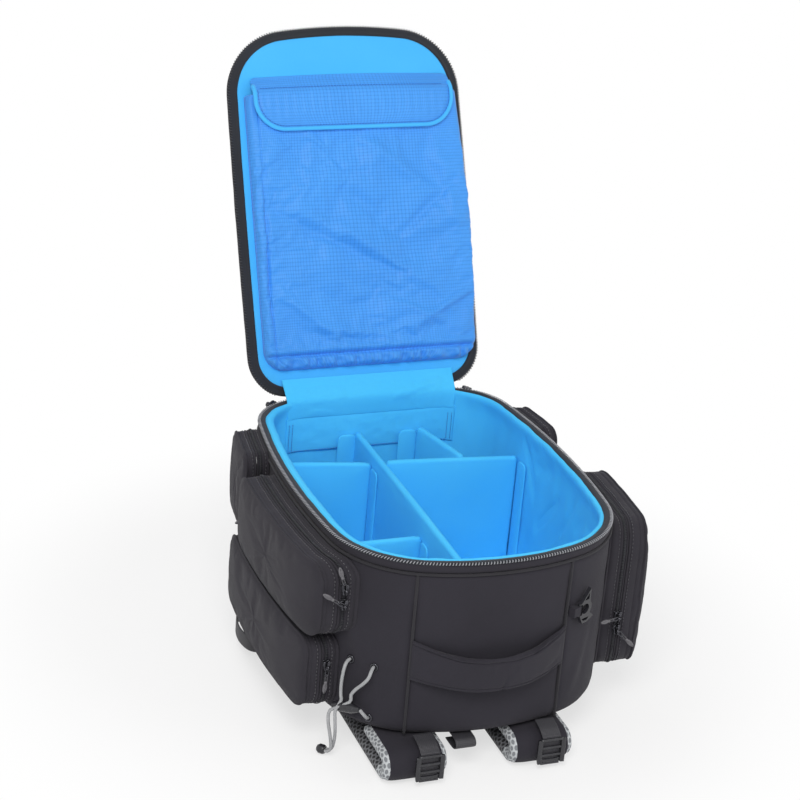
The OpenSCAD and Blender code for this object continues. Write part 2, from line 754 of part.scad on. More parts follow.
// Distances of the inner and the outer end of the cross dividers from the hinge end
left_in = 90;
left_out = 58;
left_at = [body_l / 2 - left_in, body_l / 2 - left_out];
left_drop = 12;
left_h = divider_h - left_drop;
module divider_left() {
    color(lining_blue) intersection() {
        union() {
            board([left_face, left_at[0]], [-body_w / 2, left_at[1]], divider_t, left_h);
            board([left_face - flange_t / 2, left_at[0]],
                [left_face - flange_t / 2, left_at[0] - divider_t / 2 - flange_w], flange_t, left_h);
        }
        cell_space();
        prism(0, rim_z, [[left_face, -body_l], [left_face, body_l], [-body_l, body_l],
            [-body_l, -body_l]]);
    }
}
front_at = -34;
front_drop = 24;
front_h = divider_h - front_drop;
module divider_front() {
    color(lining_blue) intersection() {
        union() {
            board([left_face, front_at], [-body_w / 2, front_at], divider_t, front_h);
            board([left_face - flange_t / 2, front_at],
                [left_face - flange_t / 2, front_at - divider_t / 2 - flange_w], flange_t, front_h);
        }
        cell_space();
    }
}
right_in = 111;
right_out = 132;
right_at = [body_l / 2 - right_in, body_l / 2 - right_out];
module divider_right() {
    color(lining_blue) intersection() {
        union() {
            board([right_face, right_at[0]], [body_w / 2, right_at[1]], divider_t, divider_h);
            difference() {
                translate([body_w / 4, right_at[1] - flange_w, divider_z])
                    cube([body_w, flange_w, divider_h]);
                prism(floor_z, rim_z, body_outline(wall_t + gap + flange_t));
            }
        }
        cell_space();
        prism(0, rim_z, [[right_face, -body_l], [body_l, -body_l], [body_l, body_l],
            [right_face, body_l]]);
    }
}
rear_foot_x = 92;
rear_top_x = 68;
rear_flange_more = 5;
rear_flange_w = flange_w + rear_flange_more;
module divider_rear() {
    u = [body_w / 2 - right_face, right_at[1] - right_at[0]];
    back = divider_t / 2 + gap;
    foot = [rear_foot_x, right_at[0] + (rear_foot_x - right_face) * u[1] / u[0]];
    n = [-u[1], u[0]] / norm(u);
    low = foot + n * back;
    top = [rear_top_x, long_y[1]];
    color(lining_blue) difference() {
        intersection() {
            union() {
                board(low - n, top, divider_t, divider_h);
                board(low + n * flange_t / 2, low + n * flange_t / 2 + u / norm(u) * rear_flange_w,
                    flange_t, divider_h);
                board(top - [0, flange_t / 2], top - [rear_flange_w, flange_t / 2], flange_t,
                    divider_h);
            }
            cell_space();
            prism(0, rim_z, [[-body_l, -body_l], [body_l, -body_l], [body_l, long_y[1]],
                [-body_l, long_y[1]]]);
        }
        board([right_face, right_at[0]] - u, [body_w / 2, right_at[1]] + u,
            divider_t + 2 * gap, rim_z);
    }
}

// ---- outside pockets ---------------------------------------------------------------------

// Share of a pocket's depth where its zip runs
zip_part = 0.5;
left_pocket_r = 22;
right_pocket_r = 36;
rear_pocket_r = 18;
// Distances of the pockets from the near end, the rim, the back sheet and the hinge end
upper_near = 60;
upper_down = 20;
lower_near = 80;
lower_up = 12;
lower_less = 3;
right_near = 75;
right_up = 15;
right_down = 21;
rear_far = 54;
upper_y = -body_l / 2 + upper_near;
upper_top = rim_z - upper_down;
lower_y = -body_l / 2 + lower_near;
lower_low = stand_h + lower_up;
right_y = -body_l / 2 + right_near;
right_low = stand_h + right_up;
right_top = rim_z - right_down;
rear_y = body_l / 2 - rear_far;
rear_top = rim_z - tape_h;

// Each pocket: side, near and far y, bottom and top z, corner radius, depth
upper_p = [-1, upper_y, upper_y + upper_pocket_l, upper_top - upper_pocket_h, upper_top,
    left_pocket_r, left_pocket_d];
lower_p = [-1, lower_y, lower_y + lower_pocket_l, lower_low, lower_low + lower_pocket_h,
    left_pocket_r, left_pocket_d - lower_less];
right_p = [1, right_y, right_y + right_pocket_l, right_low, right_top, right_pocket_r,
    right_pocket_d];
function rear_p(turn) = [turn, rear_y - rear_pocket_l, rear_y, rear_top - rear_pocket_h, rear_top,
    rear_pocket_r, rear_pocket_d];
rear_left_p = rear_p(-1);
rear_right_p = rear_p(1);

// Round-cornered block seen from the side, inset by d, over one flank of the bag
module flank_block(p, d) {
    across(p[0] < 0 ? -body_w : body_w / 4, p[0] < 0 ? -body_w / 4 : body_w,
        round_rect(p[1] + d, p[3] + d, p[2] - d, p[4] - d, p[5] - d));
}
// What lies between two offsets outside the wall
module shell_band(d0, d1) {
    difference() {
        prism(stand_h, rim_z, body_outline(-d1));
        prism(stand_h - over, rim_z + over, body_outline(-d0));
    }
}
function split(p) = p[6] * zip_part;
module pocket_base(p) {
    color(black) difference() {
        union() {
            intersection() { shell_band(0, split(p)); flank_block(p, 0); }
            intersection() {
                shell_band(split(p) - 2 * bead, split(p) - bead);
                flank_block(p, -bead / 2);
            }
        }
        flank_block(p, pocket_t);
        prism(piping_z - gap, piping_z + bead + gap, body_outline(-bead - gap));
    }
}
module pocket_cover(p) {
    color(black) difference() {
        intersection() { shell_band(split(p) + gap, p[6]); flank_block(p, 0); }
        intersection() { shell_band(0, p[6] - pocket_t); flank_block(p, pocket_t); }
    }
}

module upper_pocket_base() { pocket_base(upper_p); }
module upper_pocket_cover() { pocket_cover(upper_p); }
module lower_pocket_base() { pocket_base(lower_p); }
module lower_pocket_cover() { pocket_cover(lower_p); }
module rear_left_pocket_base() { pocket_base(rear_left_p); }
module rear_left_pocket_cover() { pocket_cover(rear_left_p); }
module right_pocket_base() { pocket_base(right_p); }
module right_pocket_cover() { pocket_cover(right_p); }
module rear_right_pocket_base() { pocket_base(rear_right_p); }
module rear_right_pocket_cover() { pocket_cover(rear_right_p); }

// ---- zip sliders -------------------------------------------------------------------------

slider_w = tape_h - gap;
slider_t = 6;
channel_w = bead + 4;
arch_bar = 1.4;
arch_rise = 3.7;
arch_l = 11;
arch_foot = 1.9;
arch_seat = 0.2;
ring_in = 1.3;
ring_out = 2.6;
pull_w = 5;
pull_t = 1.2;
bar_y = -slider_t - arch_rise + arch_bar / 2;

// Slider over an upright bead on a wall that faces -Y; the bead lies at the origin
module slider_body() {
    difference() {
        translate([-slider_w / 2, -slider_t, -slider_l / 2]) cube([slider_w, slider_t - gap, slider_l]);
        translate([-channel_w / 2, -bead / 2 - gap, -slider_l])
            cube([channel_w, bead, 2 * slider_l]);
    }
}
// Arch that holds the pull, lying along the track
module slider_arch() {
    difference() {
        translate([-arch_bar / 2, -slider_t - arch_rise, -arch_l / 2])
            cube([arch_bar, arch_rise + arch_seat, arch_l]);
        translate([-arch_bar, -slider_t - arch_rise + arch_bar, arch_foot - arch_l / 2])
            cube([2 * arch_bar, arch_rise + arch_seat, arch_l - 2 * arch_foot]);
    }
}
// Pull with its ring round the arch, pointing along -X
module pull() {
    difference() {
        union() {
            translate([0, bar_y, -pull_w / 4]) cylinder(r = ring_out, h = pull_w / 2);
            translate([-pull_l, bar_y - pull_t / 2, -pull_w / 2])
                cube([pull_l - (ring_in + ring_out) / 2, pull_t, pull_w]);
        }
        translate([0, bar_y, -pull_w]) cylinder(r = ring_in, h = 2 * pull_w);
        translate([-pull_l + pull_w, 0, 0]) rotate([90, 0, 0]) cylinder(d = pull_w / 2, h = reach);
    }
}
// Slider of a pocket zip with its pull, on the near end of pocket p at height z; the pull points
// turn degrees up from -X and lift degrees out from the pocket's end
function bead_x(p) = p[0] * flank_x(p[1], split(p) - 1.5 * bead);
module pocket_slider(p, z, turn, lift = 0) {
    color(metal) translate([bead_x(p), p[1], z]) {
        slider_body();
        rotate([0, turn, 0]) {
            slider_arch();
            translate([0, bar_y, 0]) rotate([0, 0, lift]) translate([0, -bar_y, 0]) pull();
        }
    }
}
// Turns of the pulls as they hang, and heights of the sliders on the straight part of each zip
upper_top_turn = 72;
upper_end_turn = 35;
lower_turn = -85;
rear_left_turn = -15;
right_high_turn = 8;
right_high_lift = 22;
right_low_turn = -135;
right_slider_down = 35;
right_slider_gap = 18;
function straight_top(p) = p[4] - p[5];
function straight_low(p) = p[3] + p[5];
right_slider_z = (right_low + right_top) / 2 - right_slider_down;
module upper_slider_top() {
    pocket_slider(upper_p, straight_top(upper_p) - slider_l / 2, upper_top_turn);
}
module upper_slider_end() {
    pocket_slider(upper_p, straight_top(upper_p) - 2 * slider_l, upper_end_turn);
}
module lower_slider() { pocket_slider(lower_p, straight_top(lower_p) - slider_l, lower_turn); }
module rear_left_slider() {
    pocket_slider(rear_left_p, straight_low(rear_left_p) + slider_l, rear_left_turn);
}
module right_slider_high() {
    pocket_slider(right_p, right_slider_z + right_slider_gap, right_high_turn, right_high_lift);
}
module right_slider_low() { pocket_slider(right_p, right_slider_z, right_low_turn); }

// The two sliders of the rim zip, parked round the hinge corners, which they travel about
main_turn = 57;
module rim_side(turn) {
    c = far_c(body_o);
    mirror([turn < 0 ? 1 : 0, 0, 0]) translate([c[0], c[1], coil_z + bead / 2])
        rotate([0, 0, main_turn]) translate([far_r, 0, 0]) rotate([0, 0, 90]) children();
}
module main_slider(turn) {
    color(metal) rim_side(turn) rotate([0, 90, 0]) { slider_body(); slider_arch(); }
}
module main_pull(turn) { color(metal) rim_side(turn) rotate([0, -90, 0]) pull(); }
module main_slider_left() { main_slider(-1); }
module main_slider_right() { main_slider(1); }
module main_pull_left() { main_pull(-1); }
module main_pull_right() { main_pull(1); }

place() outer_shell();
place() wall_foam();
place() wall_lining();
place() back_board();
place() rim_piping();
place() panel_piping();
place() body_zipper();
place() hinge_gusset();
place() grab_handle();
place() ring_tab();
place() accessory_ring();
place() eyelets();
place() elastic_cord();
place() cord_tail();
place() cord_lock();
place() cord_lock_button();
place() cord_toggle();
place() back_pad();
place() strap_root_left();
place() strap_root_right();
place() strap_pad_left();
place() strap_pad_right();
place() ladder_lock_left();
place() ladder_lock_right();
place() lifter_web_left();
place() lifter_web_right();
place() lower_web_left();
place() lower_web_right();
place() haul_loop();
place() lid_shell();
place() lid_foam();
place() lid_lining();
place() lid_zipper();
place() lid_pocket();
place() lid_flap();
place() main_slider_left();
place() main_slider_right();
place() main_pull_left();
place() main_pull_right();
place() divider_long();
place() divider_left();
place() divider_front();
place() divider_right();
place() divider_rear();
place() upper_pocket_base();
place() upper_pocket_cover();
place() upper_slider_top();
place() upper_slider_end();
place() lower_pocket_base();
place() lower_pocket_cover();
place() lower_slider();
place() rear_left_pocket_base();
place() rear_left_pocket_cover();
place() rear_left_slider();
place() right_pocket_base();
place() right_pocket_cover();
place() right_slider_high();
place() right_slider_low();
place() rear_right_pocket_base();
place() rear_right_pocket_cover();
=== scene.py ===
import bmesh
import bpy
import json
from math import atan2, copysign, cos, dist, exp, pi, radians, sin, sqrt
from mathutils import Matrix, Vector, noise
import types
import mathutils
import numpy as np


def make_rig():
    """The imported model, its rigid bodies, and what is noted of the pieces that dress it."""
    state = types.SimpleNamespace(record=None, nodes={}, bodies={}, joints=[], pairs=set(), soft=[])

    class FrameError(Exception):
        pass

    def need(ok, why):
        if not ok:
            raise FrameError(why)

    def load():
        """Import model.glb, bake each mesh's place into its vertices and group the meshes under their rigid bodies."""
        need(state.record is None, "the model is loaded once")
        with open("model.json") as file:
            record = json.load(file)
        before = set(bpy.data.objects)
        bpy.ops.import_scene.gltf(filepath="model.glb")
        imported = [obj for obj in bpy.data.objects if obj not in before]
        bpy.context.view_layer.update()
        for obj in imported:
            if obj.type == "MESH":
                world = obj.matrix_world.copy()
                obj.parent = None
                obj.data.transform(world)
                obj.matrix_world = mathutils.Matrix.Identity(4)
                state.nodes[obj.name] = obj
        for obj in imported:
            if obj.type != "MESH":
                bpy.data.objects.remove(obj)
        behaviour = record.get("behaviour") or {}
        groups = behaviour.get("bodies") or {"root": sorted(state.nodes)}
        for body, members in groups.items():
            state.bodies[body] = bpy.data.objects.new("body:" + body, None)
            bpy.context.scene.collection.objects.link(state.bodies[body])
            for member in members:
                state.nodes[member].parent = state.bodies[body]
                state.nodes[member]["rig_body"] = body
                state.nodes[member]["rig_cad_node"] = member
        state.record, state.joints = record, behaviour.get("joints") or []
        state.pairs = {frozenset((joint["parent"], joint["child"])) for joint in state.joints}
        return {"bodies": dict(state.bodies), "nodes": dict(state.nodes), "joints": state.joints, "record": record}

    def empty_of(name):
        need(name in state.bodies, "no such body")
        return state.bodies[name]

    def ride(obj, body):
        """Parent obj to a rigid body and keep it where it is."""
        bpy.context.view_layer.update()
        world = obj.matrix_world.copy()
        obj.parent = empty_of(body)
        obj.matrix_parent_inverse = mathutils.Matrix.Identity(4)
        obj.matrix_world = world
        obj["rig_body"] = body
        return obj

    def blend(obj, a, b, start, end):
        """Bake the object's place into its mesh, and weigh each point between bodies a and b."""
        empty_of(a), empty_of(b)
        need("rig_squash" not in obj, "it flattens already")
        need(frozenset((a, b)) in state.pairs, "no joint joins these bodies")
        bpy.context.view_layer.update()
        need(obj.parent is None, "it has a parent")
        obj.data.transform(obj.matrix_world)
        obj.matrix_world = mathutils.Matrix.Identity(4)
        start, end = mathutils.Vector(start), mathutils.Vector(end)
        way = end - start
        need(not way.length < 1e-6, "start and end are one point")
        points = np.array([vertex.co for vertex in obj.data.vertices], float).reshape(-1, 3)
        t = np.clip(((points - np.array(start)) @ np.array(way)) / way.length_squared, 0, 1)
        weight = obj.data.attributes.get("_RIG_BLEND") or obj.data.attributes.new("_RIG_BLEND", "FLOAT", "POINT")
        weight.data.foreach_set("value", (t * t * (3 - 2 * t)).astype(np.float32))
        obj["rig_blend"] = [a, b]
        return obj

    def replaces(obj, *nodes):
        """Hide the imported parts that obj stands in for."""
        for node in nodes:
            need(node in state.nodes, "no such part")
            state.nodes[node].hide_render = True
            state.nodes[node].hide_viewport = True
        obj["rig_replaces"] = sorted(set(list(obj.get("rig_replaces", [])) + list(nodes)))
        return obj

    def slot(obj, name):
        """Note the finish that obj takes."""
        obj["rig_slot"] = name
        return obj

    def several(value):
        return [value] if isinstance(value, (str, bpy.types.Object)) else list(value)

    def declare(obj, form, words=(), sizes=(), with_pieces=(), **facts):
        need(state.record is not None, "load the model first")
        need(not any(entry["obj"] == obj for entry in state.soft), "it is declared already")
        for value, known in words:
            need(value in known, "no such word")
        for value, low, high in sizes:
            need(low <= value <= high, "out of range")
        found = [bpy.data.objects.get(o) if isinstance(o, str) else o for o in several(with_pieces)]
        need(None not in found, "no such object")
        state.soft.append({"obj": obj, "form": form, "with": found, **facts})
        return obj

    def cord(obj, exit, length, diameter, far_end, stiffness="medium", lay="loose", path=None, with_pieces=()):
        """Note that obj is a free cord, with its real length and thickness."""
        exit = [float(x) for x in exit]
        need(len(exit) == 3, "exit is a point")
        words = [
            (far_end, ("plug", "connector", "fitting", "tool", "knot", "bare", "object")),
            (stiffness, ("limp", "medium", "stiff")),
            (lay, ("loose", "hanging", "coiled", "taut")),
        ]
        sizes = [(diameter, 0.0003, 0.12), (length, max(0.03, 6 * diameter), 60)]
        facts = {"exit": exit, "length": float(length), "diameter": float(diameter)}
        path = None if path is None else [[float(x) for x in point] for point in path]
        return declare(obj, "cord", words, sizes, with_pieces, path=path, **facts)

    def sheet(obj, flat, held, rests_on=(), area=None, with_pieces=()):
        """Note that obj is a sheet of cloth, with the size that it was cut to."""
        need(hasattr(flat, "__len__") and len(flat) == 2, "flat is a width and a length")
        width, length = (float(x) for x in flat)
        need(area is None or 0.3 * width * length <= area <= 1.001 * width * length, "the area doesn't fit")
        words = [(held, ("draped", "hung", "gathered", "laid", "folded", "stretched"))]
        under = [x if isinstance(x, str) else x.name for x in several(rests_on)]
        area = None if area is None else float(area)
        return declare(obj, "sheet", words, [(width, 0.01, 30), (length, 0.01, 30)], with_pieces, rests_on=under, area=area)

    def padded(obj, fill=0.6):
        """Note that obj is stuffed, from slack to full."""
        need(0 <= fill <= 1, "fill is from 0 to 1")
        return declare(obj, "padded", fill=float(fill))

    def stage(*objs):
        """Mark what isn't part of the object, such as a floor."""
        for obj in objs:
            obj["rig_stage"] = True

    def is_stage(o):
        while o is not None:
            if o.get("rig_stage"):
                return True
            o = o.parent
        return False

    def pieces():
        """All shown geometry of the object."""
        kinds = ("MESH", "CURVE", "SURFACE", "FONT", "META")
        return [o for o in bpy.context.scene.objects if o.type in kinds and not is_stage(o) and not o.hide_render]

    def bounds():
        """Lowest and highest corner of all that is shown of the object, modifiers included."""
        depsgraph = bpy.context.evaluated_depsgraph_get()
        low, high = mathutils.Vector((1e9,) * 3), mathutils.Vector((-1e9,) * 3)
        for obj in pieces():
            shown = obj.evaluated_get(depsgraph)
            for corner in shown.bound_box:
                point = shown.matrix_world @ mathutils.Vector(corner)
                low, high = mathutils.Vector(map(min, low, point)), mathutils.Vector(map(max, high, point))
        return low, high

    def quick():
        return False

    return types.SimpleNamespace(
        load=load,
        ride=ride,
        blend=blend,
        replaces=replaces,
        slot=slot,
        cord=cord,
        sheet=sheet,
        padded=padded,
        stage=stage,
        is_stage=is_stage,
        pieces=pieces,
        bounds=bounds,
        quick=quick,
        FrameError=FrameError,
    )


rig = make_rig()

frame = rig.load()
cad_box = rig.bounds()

# ---- Studio -------------------------------------------------------------------------------
# A pale table with a white surround, three broad soft lamps and a camera a little above the open
# bag, in front of its grab handle and to the left.
yaw, pitch, roll = 0.38843, 0.414357, 0.0837905
camera_dx, camera_dy, camera_dz = 48.247, -293.163, 2835.92
focal_length, picture_width, film_width = 2237.26, 800, 36
bag_shift = Vector((-4.0, -92.97253732702444, 0.0))
stand_h = 44.0
X, Y, Z = Vector((1, 0, 0)), Vector((0, 1, 0)), Vector((0, 0, 1))


def add(name, data):
    """Puts a new object into the scene."""
    obj = bpy.data.objects.new(name, data)
    bpy.context.scene.collection.objects.link(obj)
    return obj


forward = Vector((sin(yaw) * cos(pitch), cos(yaw) * cos(pitch), -sin(pitch)))
right = Vector((cos(yaw), -sin(yaw), 0))
up = right.cross(forward)
camera_x = right * cos(roll) + up * sin(roll)
camera_y = up * cos(roll) - right * sin(roll)
spot = -forward * camera_dz - right * camera_dx - up * camera_dy + bag_shift + Z * stand_h
lens = bpy.data.cameras.new("camera")
lens.lens, lens.sensor_width, lens.clip_end = focal_length / picture_width * film_width, film_width, 30
camera = add("camera", lens)
turn = Matrix((camera_x, camera_y, -forward)).transposed().to_4x4()
camera.matrix_world = Matrix.Translation(spot / 1000) @ turn
bpy.context.scene.camera = camera
bpy.context.scene.view_settings.view_transform = "Standard"


class Wire:
    """A shader socket that can be added, scaled and compared in plain expressions."""

    def __init__(self, tree, link=None):
        self.tree, self.link = tree, link

    def node(self, kind, inputs=None, out=0, **settings):
        made = self.tree.nodes.new(kind)
        for key, value in settings.items():
            setattr(made, key, value)
        for key, value in (inputs or {}).items():
            if isinstance(value, Wire):
                self.tree.links.new(value.link, made.inputs[key])
            else:
                made.inputs[key].default_value = value
        return Wire(self.tree, made.outputs[out])

    def math(self, operation, a, b=0.0):
        return self.node("ShaderNodeMath", {0: a, 1: b}, operation=operation)

    def __add__(self, other):
        return self.math("ADD", self, other)

    def __sub__(self, other):
        return self.math("SUBTRACT", self, other)

    def __rsub__(self, other):
        return self.math("SUBTRACT", other, self)

    def __mul__(self, other):
        return self.math("MULTIPLY", self, other)

    __radd__, __rmul__ = __add__, __mul__

    def sine(self):
        return self.math("SINE", self)

    def above(self, level):
        return self.math("GREATER_THAN", self, level)

    def step(self, low, high):
        return self.node("ShaderNodeMapRange", {0: self, 1: low, 2: high}, interpolation_type="SMOOTHSTEP")

    def mix(self, a, b):
        return self.node("ShaderNodeMix", {0: self, 6: a, 7: b}, 2, data_type="RGBA")

    def coords(self, kind="UV"):
        parts = self.node("ShaderNodeSeparateXYZ", {0: self.node("ShaderNodeTexCoord", out=kind)})
        return [Wire(self.tree, parts.link.node.outputs[k]) for k in range(3)]

    def speckle(self, scale, detail=2.0):
        """Uneven spots over the piece."""
        place = self.node("ShaderNodeTexCoord", out="Object")
        return self.node("ShaderNodeTexNoise", {"Vector": place, "Scale": scale, "Detail": detail})

    def plug(self, shader, socket):
        self.tree.links.new(self.link, shader.inputs[socket])

    def tint(self, shader, dark, light):
        """Colours a shader from dark, at 0, to light, at 1."""
        self.mix(shade(dark), shade(light)).plug(shader, "Base Color")

    def bump(self, shader, strength, distance):
        raised = {"Strength": strength, "Distance": distance, "Height": self}
        self.node("ShaderNodeBump", raised).plug(shader, "Normal")


def shade(code):
    """Linear colour of an sRGB code such as 45B0FF."""
    part = [int(code[i:i + 2], 16) / 255 for i in (0, 2, 4)]
    return [p / 12.92 if p <= 0.04045 else ((p + 0.055) / 1.055) ** 2.4 for p in part] + [1.0]


def new_finish(name):
    """A material with its shader and a wire to start expressions from."""
    made = bpy.data.materials.new(name)
    made.use_nodes = True
    return made, made.node_tree.nodes["Principled BSDF"], Wire(made.node_tree)


def seen_directly(w):
    """1 for the rays that show a thing, 0 for those that only light other things."""
    path = w.tree.nodes.new("ShaderNodeLightPath")
    camera_ray, glossy, clear = [Wire(w.tree, path.outputs["Is %s Ray" % kind])
                                 for kind in ("Camera", "Glossy", "Transmission")]
    return (camera_ray + glossy + clear).above(0.5)


table_top, shader, w = new_finish("table_top")
shader.inputs["Roughness"].default_value = 0.9
grain = w.node("ShaderNodeTexNoise", {"Scale": 3.0, "Detail": 2.0})
grain.mix((0.92, 0.92, 0.925, 1), (0.94, 0.94, 0.945, 1)).plug(shader, "Base Color")
away = w.node("ShaderNodeVectorMath", {0: w.node("ShaderNodeTexCoord", out="Object")}, 1, operation="LENGTH")
fade = away.step(0.36, 0.62)
both = w.node("ShaderNodeMixShader", {
    0: fade + (1.0 - fade) * seen_directly(w) * 0.66, 1: Wire(w.tree, shader.outputs[0]),
    2: w.node("ShaderNodeEmission", {"Strength": 1.0})})
both.plug(w.tree.nodes["Material Output"], "Surface")
ground = bmesh.new()
bmesh.ops.create_grid(ground, x_segments=1, y_segments=1, size=6)
mesh = bpy.data.meshes.new("table")
ground.to_mesh(mesh)
mesh.materials.append(table_top)
table = add("table", mesh)
table.location.z = -0.0006
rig.stage(table)

surround = bpy.data.worlds.new("surround")
surround.use_nodes = True
bpy.context.scene.world = surround
behind = surround.node_tree.nodes["Background"]
behind.inputs["Color"].default_value = (1, 1, 1, 1)
(seen_directly(Wire(surround.node_tree)) * 0.6 + 0.4).plug(behind, "Strength")

for name, place, size, power, tint in (
        ("key_lamp", (-1.1, -2.1, 2.6), 1.5, 64, (1.0, 0.99, 0.97)),
        ("back_lamp", (-0.6, 1.9, 2.2), 1.6, 14, (0.97, 0.985, 1.0)),
        ("fill_lamp", (2.0, -1.8, 1.5), 1.8, 12, (1.0, 1.0, 1.0))):
    lamp = bpy.data.lights.new(name, "AREA")
    lamp.size, lamp.energy, lamp.color = size, power, tint
    holder = add(name, lamp)
    holder.location = place
    holder.rotation_mode = "QUATERNION"
    holder.rotation_quaternion = (Vector((0, 0, 0.25)) - Vector(place)).to_track_quat("-Z", "Y")

# ---- Elastic bungee -----------------------------------------------------------------------
# One round braided elastic: each strand comes out of an upper eyelet, passes through the cord
# lock and hangs to the toggle at its end. A short anchor loop ties the lock to the low eyelet.
cord_d = 4.0
BAG = Matrix.Scale(0.001, 4) @ Matrix.Translation(bag_shift)


def grid(bm, columns, rows):
    """Adds a grid to a mesh and gives its points, each with its column and row."""
    bm.loops.layers.uv.verify()
    old = set(bm.verts)
    bmesh.ops.create_grid(bm, x_segments=columns, y_segments=rows, size=0.5)
    return {v: (round((v.co.x + 0.5) * columns), round((v.co.y + 0.5) * rows))
            for v in bm.verts if v not in old}


def paint(bm, spots):
    """Writes where each point lies on the cut cloth, in metres, as its UV."""
    lay = bm.loops.layers.uv.verify()
    for f in {f for v in spots for f in v.link_faces}:
        for loop in f.loops:
            loop[lay].uv = spots[loop.vert]


def close(bm, sides):
    bmesh.ops.holes_fill(bm, edges=[e for e in bm.edges if e.is_boundary], sides=sides)


def running(points):
    """How far along a row of points each of them lies."""
    out = [0.0]
    for a, b in zip(points, points[1:]):
        out.append(out[-1] + dist(a, b))
    return out


def sweep(points, section, closed=False, side=Vector((0.3, 0.2, 0.93)), bm=None):
    """A grid rolled round a row of points; section lists the offsets sideways and outwards."""
    count, sides = len(points), len(section)
    skin = bmesh.new() if bm is None else bm
    new = grid(skin, count if closed else count - 1, sides)

    def at(i):
        return points[i % count] if closed else points[min(max(i, 0), count - 1)]

    across = (at(1) - at(-1)).normalized().cross(side).normalized()
    frames = []
    for i in range(count):
        along = (at(i + 1) - at(i - 1)).normalized()
        across = (across - along * across.dot(along)).normalized()
        frames.append((across, across.cross(along)))
    for v, (i, j) in new.items():
        a, b = section[j % sides]
        one, two = frames[i % count]
        v.co = points[i % count] + one * a + two * b
    long, round_it = running(points + points[:1]), running(section + section[:1])
    paint(skin, {v: (long[i] / 1000, round_it[j] / 1000) for v, (i, j) in new.items()})
    bmesh.ops.remove_doubles(skin, verts=list(new), dist=1e-4)
    if not closed:
        close(skin, sides)
    return skin


def round_section(d, sides=12, squash=1.0):
    turns = [2 * pi * k / sides for k in range(sides)]
    return [(d / 2 * cos(a), d / 2 * squash * sin(a)) for a in turns]


def smooth_run(points, per=4):
    """Points along a curve that passes through the given ones."""
    points = [Vector(p) for p in points]
    last, out = len(points) - 1, []
    for i in range(last):
        a, b, c, d = [points[min(max(i + k, 0), last)] for k in (-1, 0, 1, 2)]
        for t in [k / per for k in range(per)]:
            out.append(0.5 * (2 * b + (c - a) * t + (2 * a - 5 * b + 4 * c - d) * t * t
                              + (3 * b - a - 3 * c + d) * t ** 3))
    return out + [points[-1]]


def settle(obj, sewn, pressure, slack, cap, frames):
    """Lets the cloth of a piece find its own folds: sewn lists the points that its seams hold, and
    no point moves further than cap, in mm."""
    group = obj.vertex_groups.new(name="seams")
    group.add(sewn, 1.0, "REPLACE")
    soft = obj.modifiers.new("cloth", "CLOTH")
    rules = soft.settings
    rules.quality, rules.mass, rules.air_damping = 5, 0.3, 2.0
    rules.tension_stiffness = rules.compression_stiffness = 20
    rules.shear_stiffness, rules.bending_stiffness = 8, 2.0
    rules.vertex_group_mass = "seams"
    rules.use_pressure, rules.uniform_pressure_force = True, pressure
    rules.shrink_min = -slack
    rules.effector_weights.gravity = 0
    soft.collision_settings.use_collision = False
    soft.point_cache.frame_start, soft.point_cache.frame_end = 1, frames
    for number in range(1, frames + 1):
        bpy.context.scene.frame_set(number)
    settled = obj.evaluated_get(bpy.context.evaluated_depsgraph_get()).data
    steps = [new.co - old.co for new, old in zip(settled.vertices, obj.data.vertices)]
    for point, step in zip(obj.data.vertices, steps):
        point.co += step * min(1.0, cap / 1000 / max(step.length, 1e-9))
    obj.modifiers.remove(soft)
    obj.vertex_groups.remove(group)
    bpy.context.scene.frame_set(1)


def piece(name, bm, finish, body, slot, stands_for=(), place=BAG, loose=None):
    """Puts a finished mesh into the scene, riding on its body. Where loose is given, its cloth
    settles first: a test for the points that are sewn down, and settle's last four values."""
    bmesh.ops.recalc_face_normals(bm, faces=bm.faces)
    bm.verts.index_update()
    sewn = [v.index for v in bm.verts if loose[0](v.co)] if loose else []
    bm.transform(place)
    made = bpy.data.meshes.new(name)
    bm.to_mesh(made)
    bm.free()
    made.shade_smooth()
    for one in finish if isinstance(finish, list) else [finish]:
        made.materials.append(one)
    obj = add(name, made)
    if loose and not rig.quick():
        settle(obj, sewn, *loose[1:])
    if body:
        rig.ride(obj, body)
    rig.slot(obj, slot)
    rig.replaces(obj, *stands_for)
    return obj


elastic, shader, w = new_finish("braided_elastic")
x, y = w.coords()[:2]
run, wind = x * 3300.0, y * 3000.0
braid = (run + wind).sine() * (run - wind).sine() * 0.5 + 0.5
(braid * 0.7 + w.speckle(160.0) * 0.4).tint(shader, "77797C", "C4C5C8")
braid.bump(shader, 0.5, 0.0004)
shader.inputs["Roughness"].default_value = 0.75

